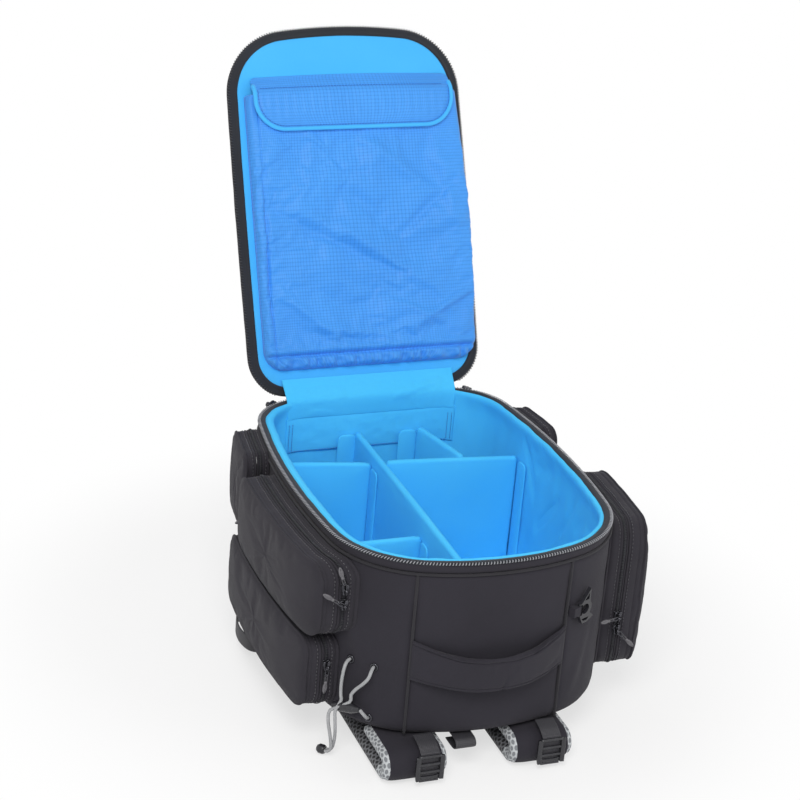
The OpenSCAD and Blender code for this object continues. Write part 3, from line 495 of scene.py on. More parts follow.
eyelet_runs = [
    [[-158.9, -175.6, 130], [-162.5, -177.9, 129.6], [-165.4, -179.8, 127.4], [-167.3, -180.7, 123],
     [-168.2, -180.3, 116.5], [-168.7, -179, 107], [-168.8, -178, 95], [-168.4, -178.6, 84],
     [-167.9, -179.4, 77]],
    [[-138.5, -199.5, 130], [-141, -202.5, 129.6], [-143.5, -205.1, 127.4], [-145.6, -206.6, 123],
     [-148.2, -205.2, 116.5], [-152.2, -200.2, 108], [-156.8, -194.2, 99], [-160.2, -190.2, 90],
     [-161.2, -189.2, 79.5]]]
anchor_run = [[-152.6, -201.4, 75.4], [-149.5, -203, 71.5], [-145.8, -203.2, 66.8], [-142.6, -201, 63],
              [-140.1, -198.2, 61]]
tail_runs = [
    [[-174.9, -181.5, 66.5], [-175.4, -183, 57], [-174.6, -183.4, 46], [-173.4, -181.8, 34],
     [-172.6, -178.8, 22.5], [-172.8, -176.2, 14.2], [-173.7, -175.2, 10.2], [-175.7, -173.2, 7.3],
     [-178.6, -170.3, 6.2]],
    [[-177.4, -178, 66], [-179.9, -176.6, 62.8], [-181.3, -176.2, 57], [-180.8, -177.1, 46],
     [-178.8, -178.4, 34], [-177, -178.9, 23], [-176.2, -178.9, 14.2], [-177, -178.1, 10],
     [-179, -176.1, 7.2], [-181.8, -173.3, 6.2]]]
cord_section = round_section(cord_d)
anchor = piece("anchor_loop", sweep(smooth_run(anchor_run), cord_section), elastic, "bag", "elastic")
for name, start, tail, tied in zip(("outer_strand", "inner_strand"), eyelet_runs, tail_runs, ([anchor], [])):
    route = smooth_run(start + tail, 3)
    strand = piece(name, sweep(route, cord_section), elastic, "bag", "elastic", ("elastic_cord", "cord_tail"))
    length = sum((b - a).length for a, b in zip(route, route[1:])) / 1000
    lies = [BAG @ p for p in route]
    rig.cord(strand, exit=lies[0], length=round(length, 4), diameter=cord_d / 1000, far_end="fitting",
            stiffness="limp", lay="hanging", path=lies, with_pieces=[frame["nodes"]["cord_toggle"]] + tied)

# ---- Outer walls --------------------------------------------------------------------------
# Plain-weave nylon over foam, cut as one band round the box and closed by the back sheet. The
# near end has a sewn panel between two piped seams, and a narrow gusset runs under the zip.
body_l, far_r = 480.0, 80.0
seams = (-103.0, 87.0)


def meet(p, a, q, b):
    """Where circles of radius a about p and b about q cross, on the left of p to q."""
    gap = (q - p).length
    ahead = (q - p) / gap
    x = (gap * gap + a * a - b * b) / (2 * gap)
    return p + ahead * x + Vector((-ahead.y, ahead.x)) * sqrt(a * a - x * x)


def bearing(v):
    return atan2(v.y, v.x)


class Cut:
    """An outline of arcs that run into each other, straight at the hinge end."""

    def __init__(self, width, side_r, edge_r, near_r, far_r):
        self.edge, self.side = Vector((0, edge_r - body_l / 2)), Vector((width / 2 - side_r, 0))
        self.near = meet(self.edge, edge_r - near_r, self.side, side_r - near_r)
        far_y = body_l / 2 - far_r
        self.far = Vector((self.side.x + sqrt((side_r - far_r) ** 2 - far_y ** 2), far_y))
        low, high = bearing(self.near - self.edge), bearing(self.near - self.side)
        last = bearing(self.far - self.side)
        self.edge_r, self.near_r, self.side_r = edge_r, near_r, side_r
        self.legs = [(self.edge, edge_r, -pi / 2, low), (self.near, near_r, low, high),
                     (self.side, side_r, high, last), (self.far, far_r, last, pi / 2)]
        self.length = 2 * (sum(r * (b - a) for _, r, a, b in self.legs) + self.far.x)

    def at(self, s):
        """Point and outward direction at length s from the middle of the near end."""
        s %= self.length
        side = 1 if s <= self.length / 2 else -1
        s = min(s, self.length - s)
        for centre, r, a, b in self.legs:
            if s <= r * (b - a):
                out = Vector((cos(a + s / r), sin(a + s / r)))
                point = centre + out * r
                break
            s -= r * (b - a)
        else:
            out, point = Vector((0, 1)), Vector((self.far.x - s, body_l / 2))
        return Vector((side * point.x, point.y)), Vector((side * out.x, out.y))

    def round(self, count):
        return [self.at(self.length * k / count) for k in range(count)]

    def line(self, inset, z, count, reach=0.0):
        """Points inset from the outline, at height z: all round it, or where reach is given, that
        far to both sides of the near end's middle."""
        start, long = (-reach, 2 * reach) if reach else (0.0, self.length)
        spots = [self.at(start + long * k / count) for k in range(count + bool(reach))]
        return [Vector((*(p - out * inset), z)) for p, out in spots]

    def flank(self, y, d=0.0):
        """x of the right wall at y, d outside it."""
        if y < self.near.y + (self.near_r + d) * sin(bearing(self.near - self.side)):
            return self.near.x + sqrt((self.near_r + d) ** 2 - (self.near.y - y) ** 2)
        return self.side.x + sqrt((self.side_r + d) ** 2 - y * y)

    def near_y(self, x):
        """y of the near wall at x."""
        if abs(x) <= self.edge_r * cos(bearing(self.near - self.edge)):
            return self.edge.y - sqrt(self.edge_r ** 2 - x * x)
        return self.near.y - sqrt(self.near_r ** 2 - (abs(x) - self.near.x) ** 2)

    def corner(self, angle, d):
        """Point of the left near corner, d outside it."""
        a = radians(angle)
        return Vector((-self.near.x - (self.near_r + d) * sin(a), self.near.y - (self.near_r + d) * cos(a)))


BODY = Cut(368.0, 1080.0, 300.0, 120.0, far_r)


def wrap(points, profile, shape, centre=Vector((0, 0)), flat=False, bm=None):
    """A grid wrapped round an outline. Each row of the profile gives how far it lies inside the
    outline, its height, and maybe how far it is drawn in to the centre; shape moves each point."""
    profile = [(*row, 0)[:3] for row in profile]
    n = len(points)
    skin = bmesh.new() if bm is None else bm
    new, spots = grid(skin, n, len(profile) - 1), {}
    along = running([p for p, out in points + points[:1]])
    down = running([(inset + 100 * drawn, z) for inset, z, drawn in profile])
    for v, (k, j) in new.items():
        point, out = points[k % n]
        inset, z, drawn = profile[j]
        p = centre + (point - out * inset - centre) * (1 - drawn)
        spots[v] = (p.x / 1000, p.y / 1000) if drawn or flat else (along[k] / 1000, down[j] / 1000)
        v.co = (p.x, p.y, z)
        v.co = shape(v.co.copy(), Vector((out.x, out.y, 0)), j)
    paint(skin, spots)
    bmesh.ops.remove_doubles(skin, verts=list(new), dist=2e-3)
    return skin


def cloth(name, dark, light, pitch=0.0009, sheen=0.3, weave=0.35, mottle=14.0, gloss=0.25):
    """Woven cloth: two crossing sets of yarns, uneven colour and a soft sheen."""
    made, shader, w = new_finish(name)
    x, y = w.coords()[:2]
    turn = 2 * pi / pitch
    yarns = (x * turn).sine() * (y * turn).sine()
    blotch, fuzz = w.speckle(mottle, 4.0), w.speckle(900.0)
    (blotch * 0.9 + fuzz * 0.5 + yarns * 0.12 - 0.2).tint(shader, dark, light)
    (blotch * 0.12 + 0.79).plug(shader, "Roughness")
    (yarns * 0.5 + fuzz * 0.5).bump(shader, weave, 0.0004)
    shader.inputs["Sheen Weight"].default_value = sheen
    shader.inputs["Sheen Roughness"].default_value = 0.5
    shader.inputs["Specular IOR Level"].default_value = gloss
    return made


def clamp(x, low=0.0, high=1.0):
    return min(max(x, low), high)


def bell(x, width):
    return exp(-(x / width) ** 2)


def hump(t):
    """0 at both ends of 0 to 1, and 1 in the middle."""
    return sin(pi * clamp(t))


def rumple(p, size, seed=0.0):
    """Soft unevenness of cloth at a point, from about -1 to 1."""
    q = Vector((p[0] / size + seed, p[1] / size - seed, p[2] / size + 0.7 * seed))
    return noise.noise(q) + 0.45 * noise.noise(q * 2.3)


def creases(p, folds):
    """Height at a point of soft folds: each runs from a to b and has a width and a height."""
    total = 0.0
    for a, b, width, high in folds:
        a, b = Vector(a), Vector(b)
        t = clamp((p - a).dot(b - a) / (b - a).length_squared)
        total += high * bell((p - (a + (b - a) * t)).length, width) * sin(pi * t) ** 0.5
    return total


shell_cloth = cloth("shell_cloth", "242229", "323038", weave=0.3, sheen=0.05)
outer_profile = [
    (20, 44, 1), (20, 44, 0.6), (20, 44, 0.2), (20, 44), (15, 44.2), (9, 45.8), (4, 49.5), (1.2, 55),
    (0, 62)] + [(0, 62 + 6.5 * k) for k in range(1, 30)] + [
    (0.2, 255), (1.2, 258), (2.0, 259.5), (1.2, 261), (0.1, 263), (-0.2, 266), (-0.2, 269), (0.2, 271.5),
    (2.5, 272), (4, 270), (4.2, 200), (4.2, 60), (8, 48), (22, 47), (22, 47, 1)]
wall_folds = (
    ((-150, -190, 120), (-170, -160, 215), 8, 1.8), ((-128, -212, 70), (-118, -216, 150), 7, -1.6),
    ((-95, -228, 66), (-70, -232, 90), 7, 1.5), ((100, -226, 60), (128, -206, 150), 10, 2.0),
    ((118, -214, 70), (140, -195, 190), 9, -1.6), ((150, -180, 90), (162, -150, 220), 9, 1.4))


def drape_wall(p, out, row):
    """Slack of the wall between its top seam and the back sheet."""
    if not 7 < row < 39:
        return p
    move = 1.3 * rumple(p, 75) + 0.5 * rumple(p, 28, 3.1) + creases(p, wall_folds)
    for seam in seams if p.y < -100 else ():
        near = bell(p.x - seam, 4.2)
        move += 0.7 * bell(p.x - seam, 22.0) * sin(p.z / 9.0 + seam) * (1 - near) - 2.6 * near
    return p + out * move * hump((p.z - 55) / 200) ** 0.6


piece("outer_walls", wrap(BODY.round(560), outer_profile, drape_wall), shell_cloth, "bag", "shell_cloth",
      ("outer_shell",))

piping_cloth = cloth("piping_cloth", "232226", "333237", weave=0.25, sheen=0.1)
piece("rim_piping_roll", sweep(BODY.line(-0.4, 259.5, 500), round_section(3.4, 8), True, Z), piping_cloth,
      "bag", "piping", ("rim_piping",))
seam_rolls = bmesh.new()
for seam in seams:
    sweep([Vector((seam, BODY.near_y(seam) - 0.1, 49 + k * 4.2)) for k in range(51)], round_section(3.6, 8),
          side=X, bm=seam_rolls)
piece("panel_seam_rolls", seam_rolls, piping_cloth, "bag", "piping", ("panel_piping",))

# ---- Rim zip ------------------------------------------------------------------------------
# Continuous coil zip. Its tape lies flat on top of the wall, with the coil along the outer edge,
# and it stops at the hinge, where both sliders are parked.
tape_cloth = cloth("tape_cloth", "1F2126", "33363D", pitch=0.0012, weave=0.5, sheen=0.1)


def worn(name, dark, light, scale, detail, rough_share, rough, bump=0.0, metallic=0.0):
    """Moulded or cast finish, with handling wear."""
    made, shader, w = new_finish(name)
    wear = w.speckle(scale, detail)
    wear.tint(shader, dark, light)
    (wear * rough_share + rough).plug(shader, "Roughness")
    if bump:
        wear.bump(shader, bump, 0.0002)
    shader.inputs["Metallic"].default_value = metallic
    return made


# The rim coil is dark nylon with a painted highlight: above about 273 mm its upper side turns light grey, as glints
# along the tops of its teeth.
rim_nylon, shader, w = new_finish("rim_nylon")
w.coords("Object")[2].step(0.2722, 0.2734).tint(shader, "222327", "A2A4AA")
shader.inputs["Roughness"].default_value = 0.35
zip_coil = worn("zip_coil", "232428", "3C3D43", 60.0, 2.0, 0.2, 0.3)


def level(along):
    return Vector((along.y, -along.x, 0)), Z


def coil(path, wide, high, pitch, out_of=level, steps=8, wire=0.85):
    """Nylon coil wound along a path; out_of gives the sideways and upward directions on it."""
    gaps, spots, k = running(path), [], 0
    count = int(gaps[-1] / pitch) * steps
    for step in range(count):
        s = gaps[-1] * step / count
        while gaps[k + 1] < s:
            k += 1
        p = path[k].lerp(path[k + 1], (s - gaps[k]) / (gaps[k + 1] - gaps[k]))
        side, rise = out_of((path[k + 1] - path[k]).normalized())
        angle = 2 * pi * step / steps
        spots.append(p + side * (wide / 2 * cos(angle)) + rise * (high / 2 * sin(angle)))
    return sweep(spots, round_section(wire, 4), side=Vector((0.2, 0.3, 0.9)))


tape_profile = [(0.1, 270.5), (0.0, 272.2), (1.0, 273.6), (3.5, 274.2), (6.5, 274.0), (9.5, 273.0), (11, 271),
                (8, 270), (3, 270), (0.1, 270.5)]
piece("rim_tape", wrap(BODY.round(420), tape_profile, lambda p, out, row:
                       p + Z * 0.35 * rumple(p, 45, 9.0) + out * 0.4 * rumple(p, 30, 5.0)),
      tape_cloth, "bag", "zip_tape", ("body_zipper",))
rim_line = BODY.line(0.7, 273.0, 700, BODY.length / 2 - 96)
piece("rim_coil", coil(rim_line, 4.2, 2.1, 3.7, wire=1.25), rim_nylon, "bag", "zip_tape")

# ---- Lining -------------------------------------------------------------------------------
# Bright soft-napped lining laid over the foam wall: it rolls over the top of the foam, runs down
# the inside with loose vertical puckers and covers the floor.
# This copy of the lining cloth is lighter and greener than bright_lining, the lid's copy of the same cloth. The
# difference is painted light, standing in for the light that doesn't reach into the box.
lining_cloth = cloth("lining_cloth", "46C2FF", "5AD1FF", pitch=0.0008, sheen=0.03, weave=0.2, mottle=9.0,
                     gloss=0.1)
lining_profile = [
    (11, 47, 1), (11, 47), (10.6, 120), (10.4, 262), (9.6, 268), (9.3, 271.2), (10.2, 273.4), (12.0, 274.3),
    (14.0, 273.6), (15.2, 271.6), (15.4, 268.4), (14.6, 263.6), (13.6, 257), (13.1, 249)] + [
    (13, 249 - 8 * k) for k in range(1, 22)] + [
    (13, 76), (13.2, 70), (15, 63), (20, 58.6), (28, 57.2), (28, 57, 0.15), (28, 57, 0.4), (28, 57, 0.7),
    (28, 57, 1)]
roll_share = (0.15, 0.4, 0.75, 1, 1, 0.9, 0.7, 0.5, 0.3, 0.15)
lining_folds = (
    ((138, 196, 268), (136, 198, 130), 3.2, 6.0), ((163, 100, 262), (166, 60, 190), 5, 5.0),
    ((150, -150, 240), (166, -90, 150), 5.5, 6.0), ((164, -60, 250), (168, -20, 170), 4.5, 5.5),
    ((130, -180, 220), (158, -128, 130), 5, 5.0), ((168, -10, 220), (168, 50, 150), 5, 5.0),
    ((166, 70, 230), (168, 10, 244), 4.5, 4.0), ((158, -120, 252), (167, -60, 205), 4, 4.5),
    ((146, -164, 200), (166, -96, 228), 5, 4.0))


def drape_lining(p, out, row):
    """The roll over the foam is wider on the left and narrow at the hinge; the wall below it has
    folds that open into it."""
    if not 4 <= row <= 38:
        return p
    wave = rumple(p, 38, 1.7)
    if 5 < row < 16:
        share = roll_share[row - 6]
        left = clamp(-2 * out.x) * clamp((p.y + 205) / 130) * clamp((236 - p.y) / 60)
        p = p - out * (4.0 * left - 2.4 * clamp(5 * out.y - 3.6)) * share
        if row < 9:
            p += out * 3.0 * left * (1 - share) + Z * 0.5 * left
    if row < 12:
        return p + out * (-0.9 * wave - 0.5 * rumple(p, 16, 2.0)) + Z * min(0.1, 0.7 * rumple(p, 24, 4.4))
    fall = rumple(Vector((p.x, p.y, p.z * 0.35)), 30, 2.7)
    keep = clamp((250 - p.z) / 20)
    move = 0.4 + (1.5 * fall + 0.8 * rumple(p, 60, 8.0)) * (1 - bell(p.z - 275, 6.0))
    move += creases(p, lining_folds)
    return p + out * (max(move, -0.3 * keep) if keep > 0 else move)


piece("lining", wrap(BODY.round(560), lining_profile, drape_lining), lining_cloth, "bag", "lining_cloth",
      ("wall_lining", "wall_foam", "back_board"))

# ---- Hinge gusset -------------------------------------------------------------------------
# The lining's own cloth closes the hinge end: a panel topstitched to the far wall inside the
# box, and above it a loose strip that folds over the hinge and is sewn into the lid's lining.
hinge_z, lid_open = 276.4, radians(115)
LID = (BAG @ Matrix.Translation((0, body_l / 2, hinge_z)) @ Matrix.Rotation(-lid_open, 4, "X")
       @ Matrix.Translation((0, -body_l / 2, 0)))


def spread(across, along, shape, bm=None, cut=(250.0, 100.0)):
    """A grid of cloth of a flat size, laid by shape, which takes 0 to 1 across and along."""
    skin = bmesh.new() if bm is None else bm
    new = grid(skin, across, along)
    paint(skin, {v: (v.co.x * cut[0] / 1000, v.co.y * cut[1] / 1000) for v in new})
    for v in new:
        v.co = shape(v.co.x + 0.5, v.co.y + 0.5)
    return skin


def thicken(obj, thickness, offset=0.0):
    solid = obj.modifiers.new("thickness", "SOLIDIFY")
    solid.thickness, solid.offset = thickness / 1000, offset


def stitches(path, rise, bm, long=2.6, gap=1.3, wide=0.55):
    """A row of short threads along a path of points, standing rise proud of it."""
    s = gap
    for a, b in zip(path, path[1:]):
        span = (b - a).length
        ahead = (b - a).normalized()
        turned = ahead.to_track_quat("X", "Z").to_matrix().to_4x4()
        while s < span:
            bmesh.ops.create_cube(bm, size=1, matrix=Matrix.Translation(a + ahead * s + rise) @ turned
                                  @ Matrix.Diagonal((long, wide, 0.5, 1)))
            s += long + gap
        s -= span
    return bm


blue_thread = cloth("blue_thread", "1658AC", "2069C4", weave=0.1)
dark_thread = cloth("dark_thread", "3A393E", "4B4A50", weave=0.1)
gusset_x = (-117.0, 118.0)


def gusset_spot(x, inset):
    """y at inset from the far wall at x, with the corners followed."""
    bend = max(0.0, abs(x) - BODY.far.x)
    r = far_r - inset
    return body_l / 2 - inset - (r - sqrt(max(r * r - bend * bend, 0)))


def gusset_panel(s, t):
    x = gusset_x[0] + (gusset_x[1] - gusset_x[0]) * s
    z = 202 + 50 * t
    puff = hump((t - 0.04) / 0.92) ** 0.5 * sin(pi * s) ** 0.25
    wave = 0.9 * rumple((x, 0, z), 30, 4.0) + 0.5 * rumple((x, 0, z), 12, 6.0)
    sag = 0.375 * sin(pi * s) if t < 0.5 else 0
    return Vector((x, gusset_spot(x, 13.6) - (1.6 + max(wave, -0.6)) * puff, z - sag))


panel = piece("gusset_panel", spread(120, 30, gusset_panel), lining_cloth, "bag", "lining_cloth",
              ("hinge_gusset",))
thicken(panel, 1.2, 1)
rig.sheet(panel, flat=(0.235, 0.050), held="laid", rests_on=["lining"], with_pieces=[])
seam = bmesh.new()
for x in (gusset_x[0] + 4, gusset_x[0] + 9, gusset_x[1] - 4, gusset_x[1] - 9):
    stitches([Vector((x, gusset_spot(x, 14.9), 206 + 5 * k)) for k in range(9)], Y * -0.5, seam)
stitches([Vector((x, gusset_spot(x, 15.4), 204.5)) for x in range(-112, 114, 6)], Y * -0.3, seam)
piece("gusset_stitches", seam, blue_thread, "bag", "lining_cloth")

fold_route = smooth_run([(0, y, z) for y, z in (
    (226.0, 250.5), (225.4, 254.0), (224.9, 260.5), (224.7, 268.0), (225.6, 274.6), (228.4, 279.4),
    (232.8, 284.2), (238.2, 288.8), (241.8, 293.0), (244.2, 296.0), (246.0, 298.2))], 6)


def gusset_fold(s, t):
    """The strip that folds over the hinge: from the far wall up to the lid."""
    k = t * (len(fold_route) - 1)
    i = min(int(k), len(fold_route) - 2)
    x = (gusset_x[0] + 2 - 4 * t) * (1 - s) + (gusset_x[1] - 2 + 3 * t) * s
    p = fold_route[i].lerp(fold_route[i + 1], k - i) + X * x
    if t < 0.6:
        p.y += (gusset_spot(x, 13.6) - gusset_spot(0, 13.6)) * (1 - t / 0.6)
    wave = 1.5 * rumple((x * 0.6, t * 40, 3), 22, 1.0) + 0.8 * rumple((x, t * 60, 1), 13, 5.0) + creases(
        Vector((x, t * 60)), (((30, 20), (100, 42), 5, 2.4), ((-100, 16), (60, 13), 3.5, -2.2)))
    wave = clamp(wave, -0.2, 1.2 + 6 * max(t - 0.35, 0)) if t < 0.6 else max(wave, -0.7)
    return p + Vector((0, -0.75, 0.45)) * wave * sin(pi * t) ** 0.7


fold = piece("gusset_fold", spread(140, 48, gusset_fold), lining_cloth, None, "lining_cloth")
thicken(fold, 1.4, 1)
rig.sheet(fold, flat=(0.235, 0.062), held="draped", rests_on=["lining", "lid_lining_cloth"])
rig.blend(fold, "bag", "lid", start=BAG @ Vector((0, 229, 270)), end=BAG @ Vector((0, 244, 289)))

# ---- Lid ----------------------------------------------------------------------------------
# A foam-filled flap of the outer cloth, edged with the other half of the zip, and lined with the
# bright cloth. Everything here is laid out flat with the bag shut, then swung open.
LID_CUT = Cut(322.0, 12000.0, 740.0, 84.0, 52.0)
lid_profile = [
    (12, 3.4, 1), (12, 3.4), (2.4, 3.2), (0.7, 3.6), (0, 5), (0, 7), (0.5, 9.4), (1.8, 11.6), (4.2, 13.2),
    (6.4, 13.4), (9, 14.2), (14, 14.6), (22, 14.8)] + [(22, 14.8, k / 24) for k in range(1, 25)]


def from_hinge(v):
    return body_l / 2 - v


def drape_lid(p, out, row):
    if row < 4:
        return p
    return p + Z * 0.9 * rumple(p, 70, 2.0) * clamp((row - 8) / 6) + out * 0.4 * rumple(p, 40)


piece("lid_cover", wrap(LID_CUT.round(480), lid_profile, drape_lid), shell_cloth, "lid", "shell_cloth",
      ("lid_shell", "lid_foam"), LID)
piece("lid_edge_roll", sweep(LID_CUT.line(5.6, 13.6, 420), round_section(3.2, 8), True, Z), piping_cloth,
      "lid", "piping", place=LID)

border_profile = [
    (0.9, 3.3), (0.2, 2.5), (0.3, 1.2), (1.6, 0.5), (4.6, 0.1), (7.6, -0.2), (8.6, -1.1), (9.8, -1.7),
    (11.2, -1.6), (12.2, -0.6), (12.6, 1), (12, 3.3), (6, 3.4), (0.9, 3.3)]
piece("lid_border", wrap(LID_CUT.round(420), border_profile, lambda p, out, row:
                         p + Z * 0.3 * rumple(p, 30, 1.0)),
      tape_cloth, "lid", "zip_tape", ("lid_zipper",), LID)
lid_line = LID_CUT.line(0.9, 1.5, 700, LID_CUT.length / 2 - 128)
piece("lid_coil", coil(lid_line, 4.4, 1.9, 3.6, wire=1.3), zip_coil, "lid", "zip_tape", place=LID)

lid_lining_profile = [
    (11.6, 2.6, 1), (11.6, 2.6), (11.4, 0.6), (12.0, -0.5), (14, -1.1), (18, -1.4), (26, -1.5), (34, -2.2),
    (42, -3.0)] + [(42, -3.0, k / 20) for k in range(1, 21)]


def drape_lid_lining(p, out, row):
    if row < 3:
        return p
    swell = 1.6 * bell(from_hinge(p.y) - 440, 22)
    wave = 0.5 * rumple(p, 50, 3.0) + 0.25 * rumple(p, 18, 5.0)
    return p - Z * (wave + swell) * clamp((row - 5) / 3)


# bright_lining is the lid's copy of the lining cloth, in its own colour. The copy for the inside of the box,
# lining_cloth, has painted light in its colour. The flap binding also uses this copy.
bright_lining = cloth("bright_lining", "3CAEF8", "52C0FF", pitch=0.0008, sheen=0.12, weave=0.2, mottle=6.0)
piece("lid_lining_cloth", wrap(LID_CUT.round(420), lid_lining_profile, drape_lid_lining), bright_lining,
      "lid", "lining_cloth", ("lid_lining",), LID)

# ---- Lid pocket and flap ------------------------------------------------------------------
# A flat pocket of thin rip-stop sewn to the lid's lining on three sides, with an elastic hem at
# its foot; its open end lies under a flap edged with light binding and held by touch tape.
ripstop, shader, w = new_finish("ripstop_cloth")
cell = 2 * pi / 0.0034
blotch, fine = w.speckle(11.0, 5.0), w.speckle(700.0)
across, along = [(axis * cell).sine().above(0.5) * 0.5 for axis in w.coords()[:2]]
lines = across + along
(blotch * 0.5 + fine * 0.2 - lines * 0.55 + 0.5).tint(shader, "2079D0", "44A1F8")
(blotch * 0.15 + 0.5).plug(shader, "Roughness")
(lines * 0.6 + fine * 0.3 + blotch * 0.5).bump(shader, 0.45, 0.0006)
shader.inputs["Sheen Weight"].default_value = 0.15

pocket_low, pocket_high, flap_low, flap_top = 34.0, 392.0, 344.0, 414.0
pocket_x, flap_x = (-140.0, 152.0), (-131.0, 143.0)
flap_middle, flap_half = 6, 137
pocket_folds = (
    ((-62, -102), (-22, -56), 4.5, 6.0), ((-57, -92), (-16, -52), 4.0, -5.0),
    ((-128, 150), (-122, -80), 3.0, -3.2), ((-112, -20), (20, 52), 11, 2.6), ((-100, 8), (60, 92), 8, -2.0),
    ((112, -90), (140, 100), 7, 3.0), ((-90, 150), (40, 170), 6, 2.0), ((10, -95), (110, -10), 9, 3.0),
    ((-30, 20), (110, 120), 9, 2.2), ((30, 120), (140, 170), 7, 2.2), ((50, 40), (140, -40), 6, -2.6),
    ((-110, 110), (-40, 170), 6, 2.2), ((-20, -30), (90, 70), 10, -2.0), ((60, 160), (150, 110), 6, 2.0))


def dense(t, keep=0.62):
    """Spaces grid lines closer together at both rims."""
    return t - keep * sin(2 * pi * t) / (2 * pi)


def round_in(v, low, high, low_r, high_r):
    """How far a side stands in at height v, where its corners are rounded."""
    for away, r in ((v - low, low_r), (high - v, high_r)):
        if away < r:
            return r - sqrt(max(r * r - (r - away) ** 2, 0))
    return 0.0


def pocket_cut(s, t):
    """The pocket's cloth on the lining: s across, t from its gathered foot to its open mouth."""
    v = pocket_low + (pocket_high - pocket_low) * dense(t)
    corner = round_in(v, pocket_low, pocket_high, 26.0, 4.0)
    x0, x1 = pocket_x[0] + corner, pocket_x[1] - corner
    x = x0 + (x1 - x0) * dense(s)
    rim = min(x - x0, x1 - x, v - pocket_low)
    rise = sqrt(max(1 - (1 - min(rim, 7.0) / 7.0) ** 2, 0))
    spot = Vector((x, from_hinge(v), 0))
    low = bell(v - 41, 8)
    gather = low * (3.0 * sin(x / 2.6 + 2.2 * sin(x / 11)) + 2.0 * sin(x / 4.7 + 1))
    hem = 2.2 * bell(v - 59, 4) - 4.6 * bell(v - 51.5, 2.4)
    wave = 2.6 * rumple(spot, 80, 1.0) + 2.0 * rumple(Vector((x, spot.y * 0.6, 0)), 34, 2.2)
    wave += 0.7 * rumple(spot, 13, 7.0) + low * 2.2 * rumple(spot, 7, 3.0)
    wave += creases(spot.to_2d(), pocket_folds)
    full = wave * (1 - 0.6 * low) + gather + hem + 1.5 * hump((v - 60) / 320) - 1.6 * bell(x - x0 - 14, 1.4)
    full -= max(full - 2.0, 0) * clamp((v - 322) / 16)
    bulge = 7 * clamp((x - 20) / 130) * hump((v - 20) / 370)
    return Vector((x + bulge, spot.y, -0.9 - (13.0 + max(full, -8.0)) * rise))


lid_pocket = piece(
    "lid_pocket_cloth", spread(170, 220, pocket_cut, cut=(302.0, 372.0)), ripstop, "lid", "ripstop_cloth",
    ("lid_pocket",), LID,
    loose=(lambda p: p.z > -9 or not 60 < from_hinge(p.y) < 334, 0.6, 0.02, 4.0, 14))
thicken(lid_pocket, 0.5)
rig.sheet(lid_pocket, flat=(0.302, 0.372), held="gathered", rests_on=["lid_lining_cloth"])


def flap_z(v):
    t = clamp((flap_top + 2 - v) / 26)
    return -3.4 - 15.6 * t * t * (3 - 2 * t)


def flap_arch(x):
    return 3.0 * (1 - ((x - flap_middle) / flap_half) ** 2)


def flap_cut(s, t):
    """The flap, sewn down along its top: s across, t from its free edge to that seam."""
    v = flap_low + (flap_top - flap_low) * dense(t, 0.4)
    corner = round_in(v, flap_low, flap_top, 40.0, 6.0)
    x0, x1 = flap_x[0] + corner, flap_x[1] - corner
    x = x0 + (x1 - x0) * dense(s, 0.5)
    spot = Vector((x, from_hinge(v), 0))
    ribs = 0.4 * sin(x / 1.9) * bell(v - 372, 22)
    wave = 1.1 * rumple(spot, 40, 6.0) + 0.6 * rumple(spot, 14, 3.0)
    rim = clamp((min(x - x0, x1 - x, v - flap_low, flap_top - v) - 4.5) / 6)
    z = flap_z(v) + 1.3 * bell(v - 399, 1.6) - (wave + 2.2 * hump((v - 350) / 48) - ribs) * rim
    return Vector((x, spot.y - flap_arch(x) * clamp((v - 380) / 34), z))


def rounded(x0, y0, x1, y1, radii, count):
    """Points round a rectangle whose four corners, from low left on, have their own radii."""
    a, b, c, d = radii
    legs = [(Vector((x0 + a, y0)), Vector((x1 - b, y0)), Vector((0, -1))), (Vector((x1 - b, y0 + b)), b, -90),
            (Vector((x1, y0 + b)), Vector((x1, y1 - c)), Vector((1, 0))), (Vector((x1 - c, y1 - c)), c, 0),
            (Vector((x1 - c, y1)), Vector((x0 + d, y1)), Vector((0, 1))), (Vector((x0 + d, y1 - d)), d, 90),
            (Vector((x0, y1 - d)), Vector((x0, y0 + a)), Vector((-1, 0))), (Vector((x0 + a, y0 + a)), a, 180)]
    sizes = [pi / 2 * leg[1] if isinstance(leg[1], float) else (leg[1] - leg[0]).length for leg in legs]
    total, out = sum(sizes), []
    for k in range(count):
        s = total * k / count
        for leg, size in zip(legs, sizes):
            if s <= size + 1e-9:
                break
            s -= size
        if isinstance(leg[1], float):
            turned = radians(leg[2]) + s / leg[1]
            face = Vector((cos(turned), sin(turned)))
            out.append((leg[0] + face * leg[1], face))
        else:
            out.append((leg[0].lerp(leg[1], s / max(size, 1e-9)), leg[2]))
    return out


flap = piece("flap_cloth", spread(150, 60, flap_cut, cut=(274.0, 71.0)), ripstop, "lid_flap_body",
             "ripstop_cloth", ("lid_flap",), LID)
thicken(flap, 1.4)
flap_outline = rounded(flap_x[0], from_hinge(flap_top), flap_x[1], from_hinge(flap_low),
                       (6.0, 6.0, 40.0, 40.0), 420)
edge = [(p, out) for p, out in flap_outline if from_hinge(p.y) < 404]
pivot = next(k for k, (p, out) in enumerate(edge) if (p - edge[k - 1][0]).length > 20)
edge = edge[pivot:] + edge[:pivot]


def inside_edge(p, out, inset, proud=0.0):
    return Vector((p.x - out.x * inset, p.y - out.y * inset, flap_z(from_hinge(p.y)) - proud))


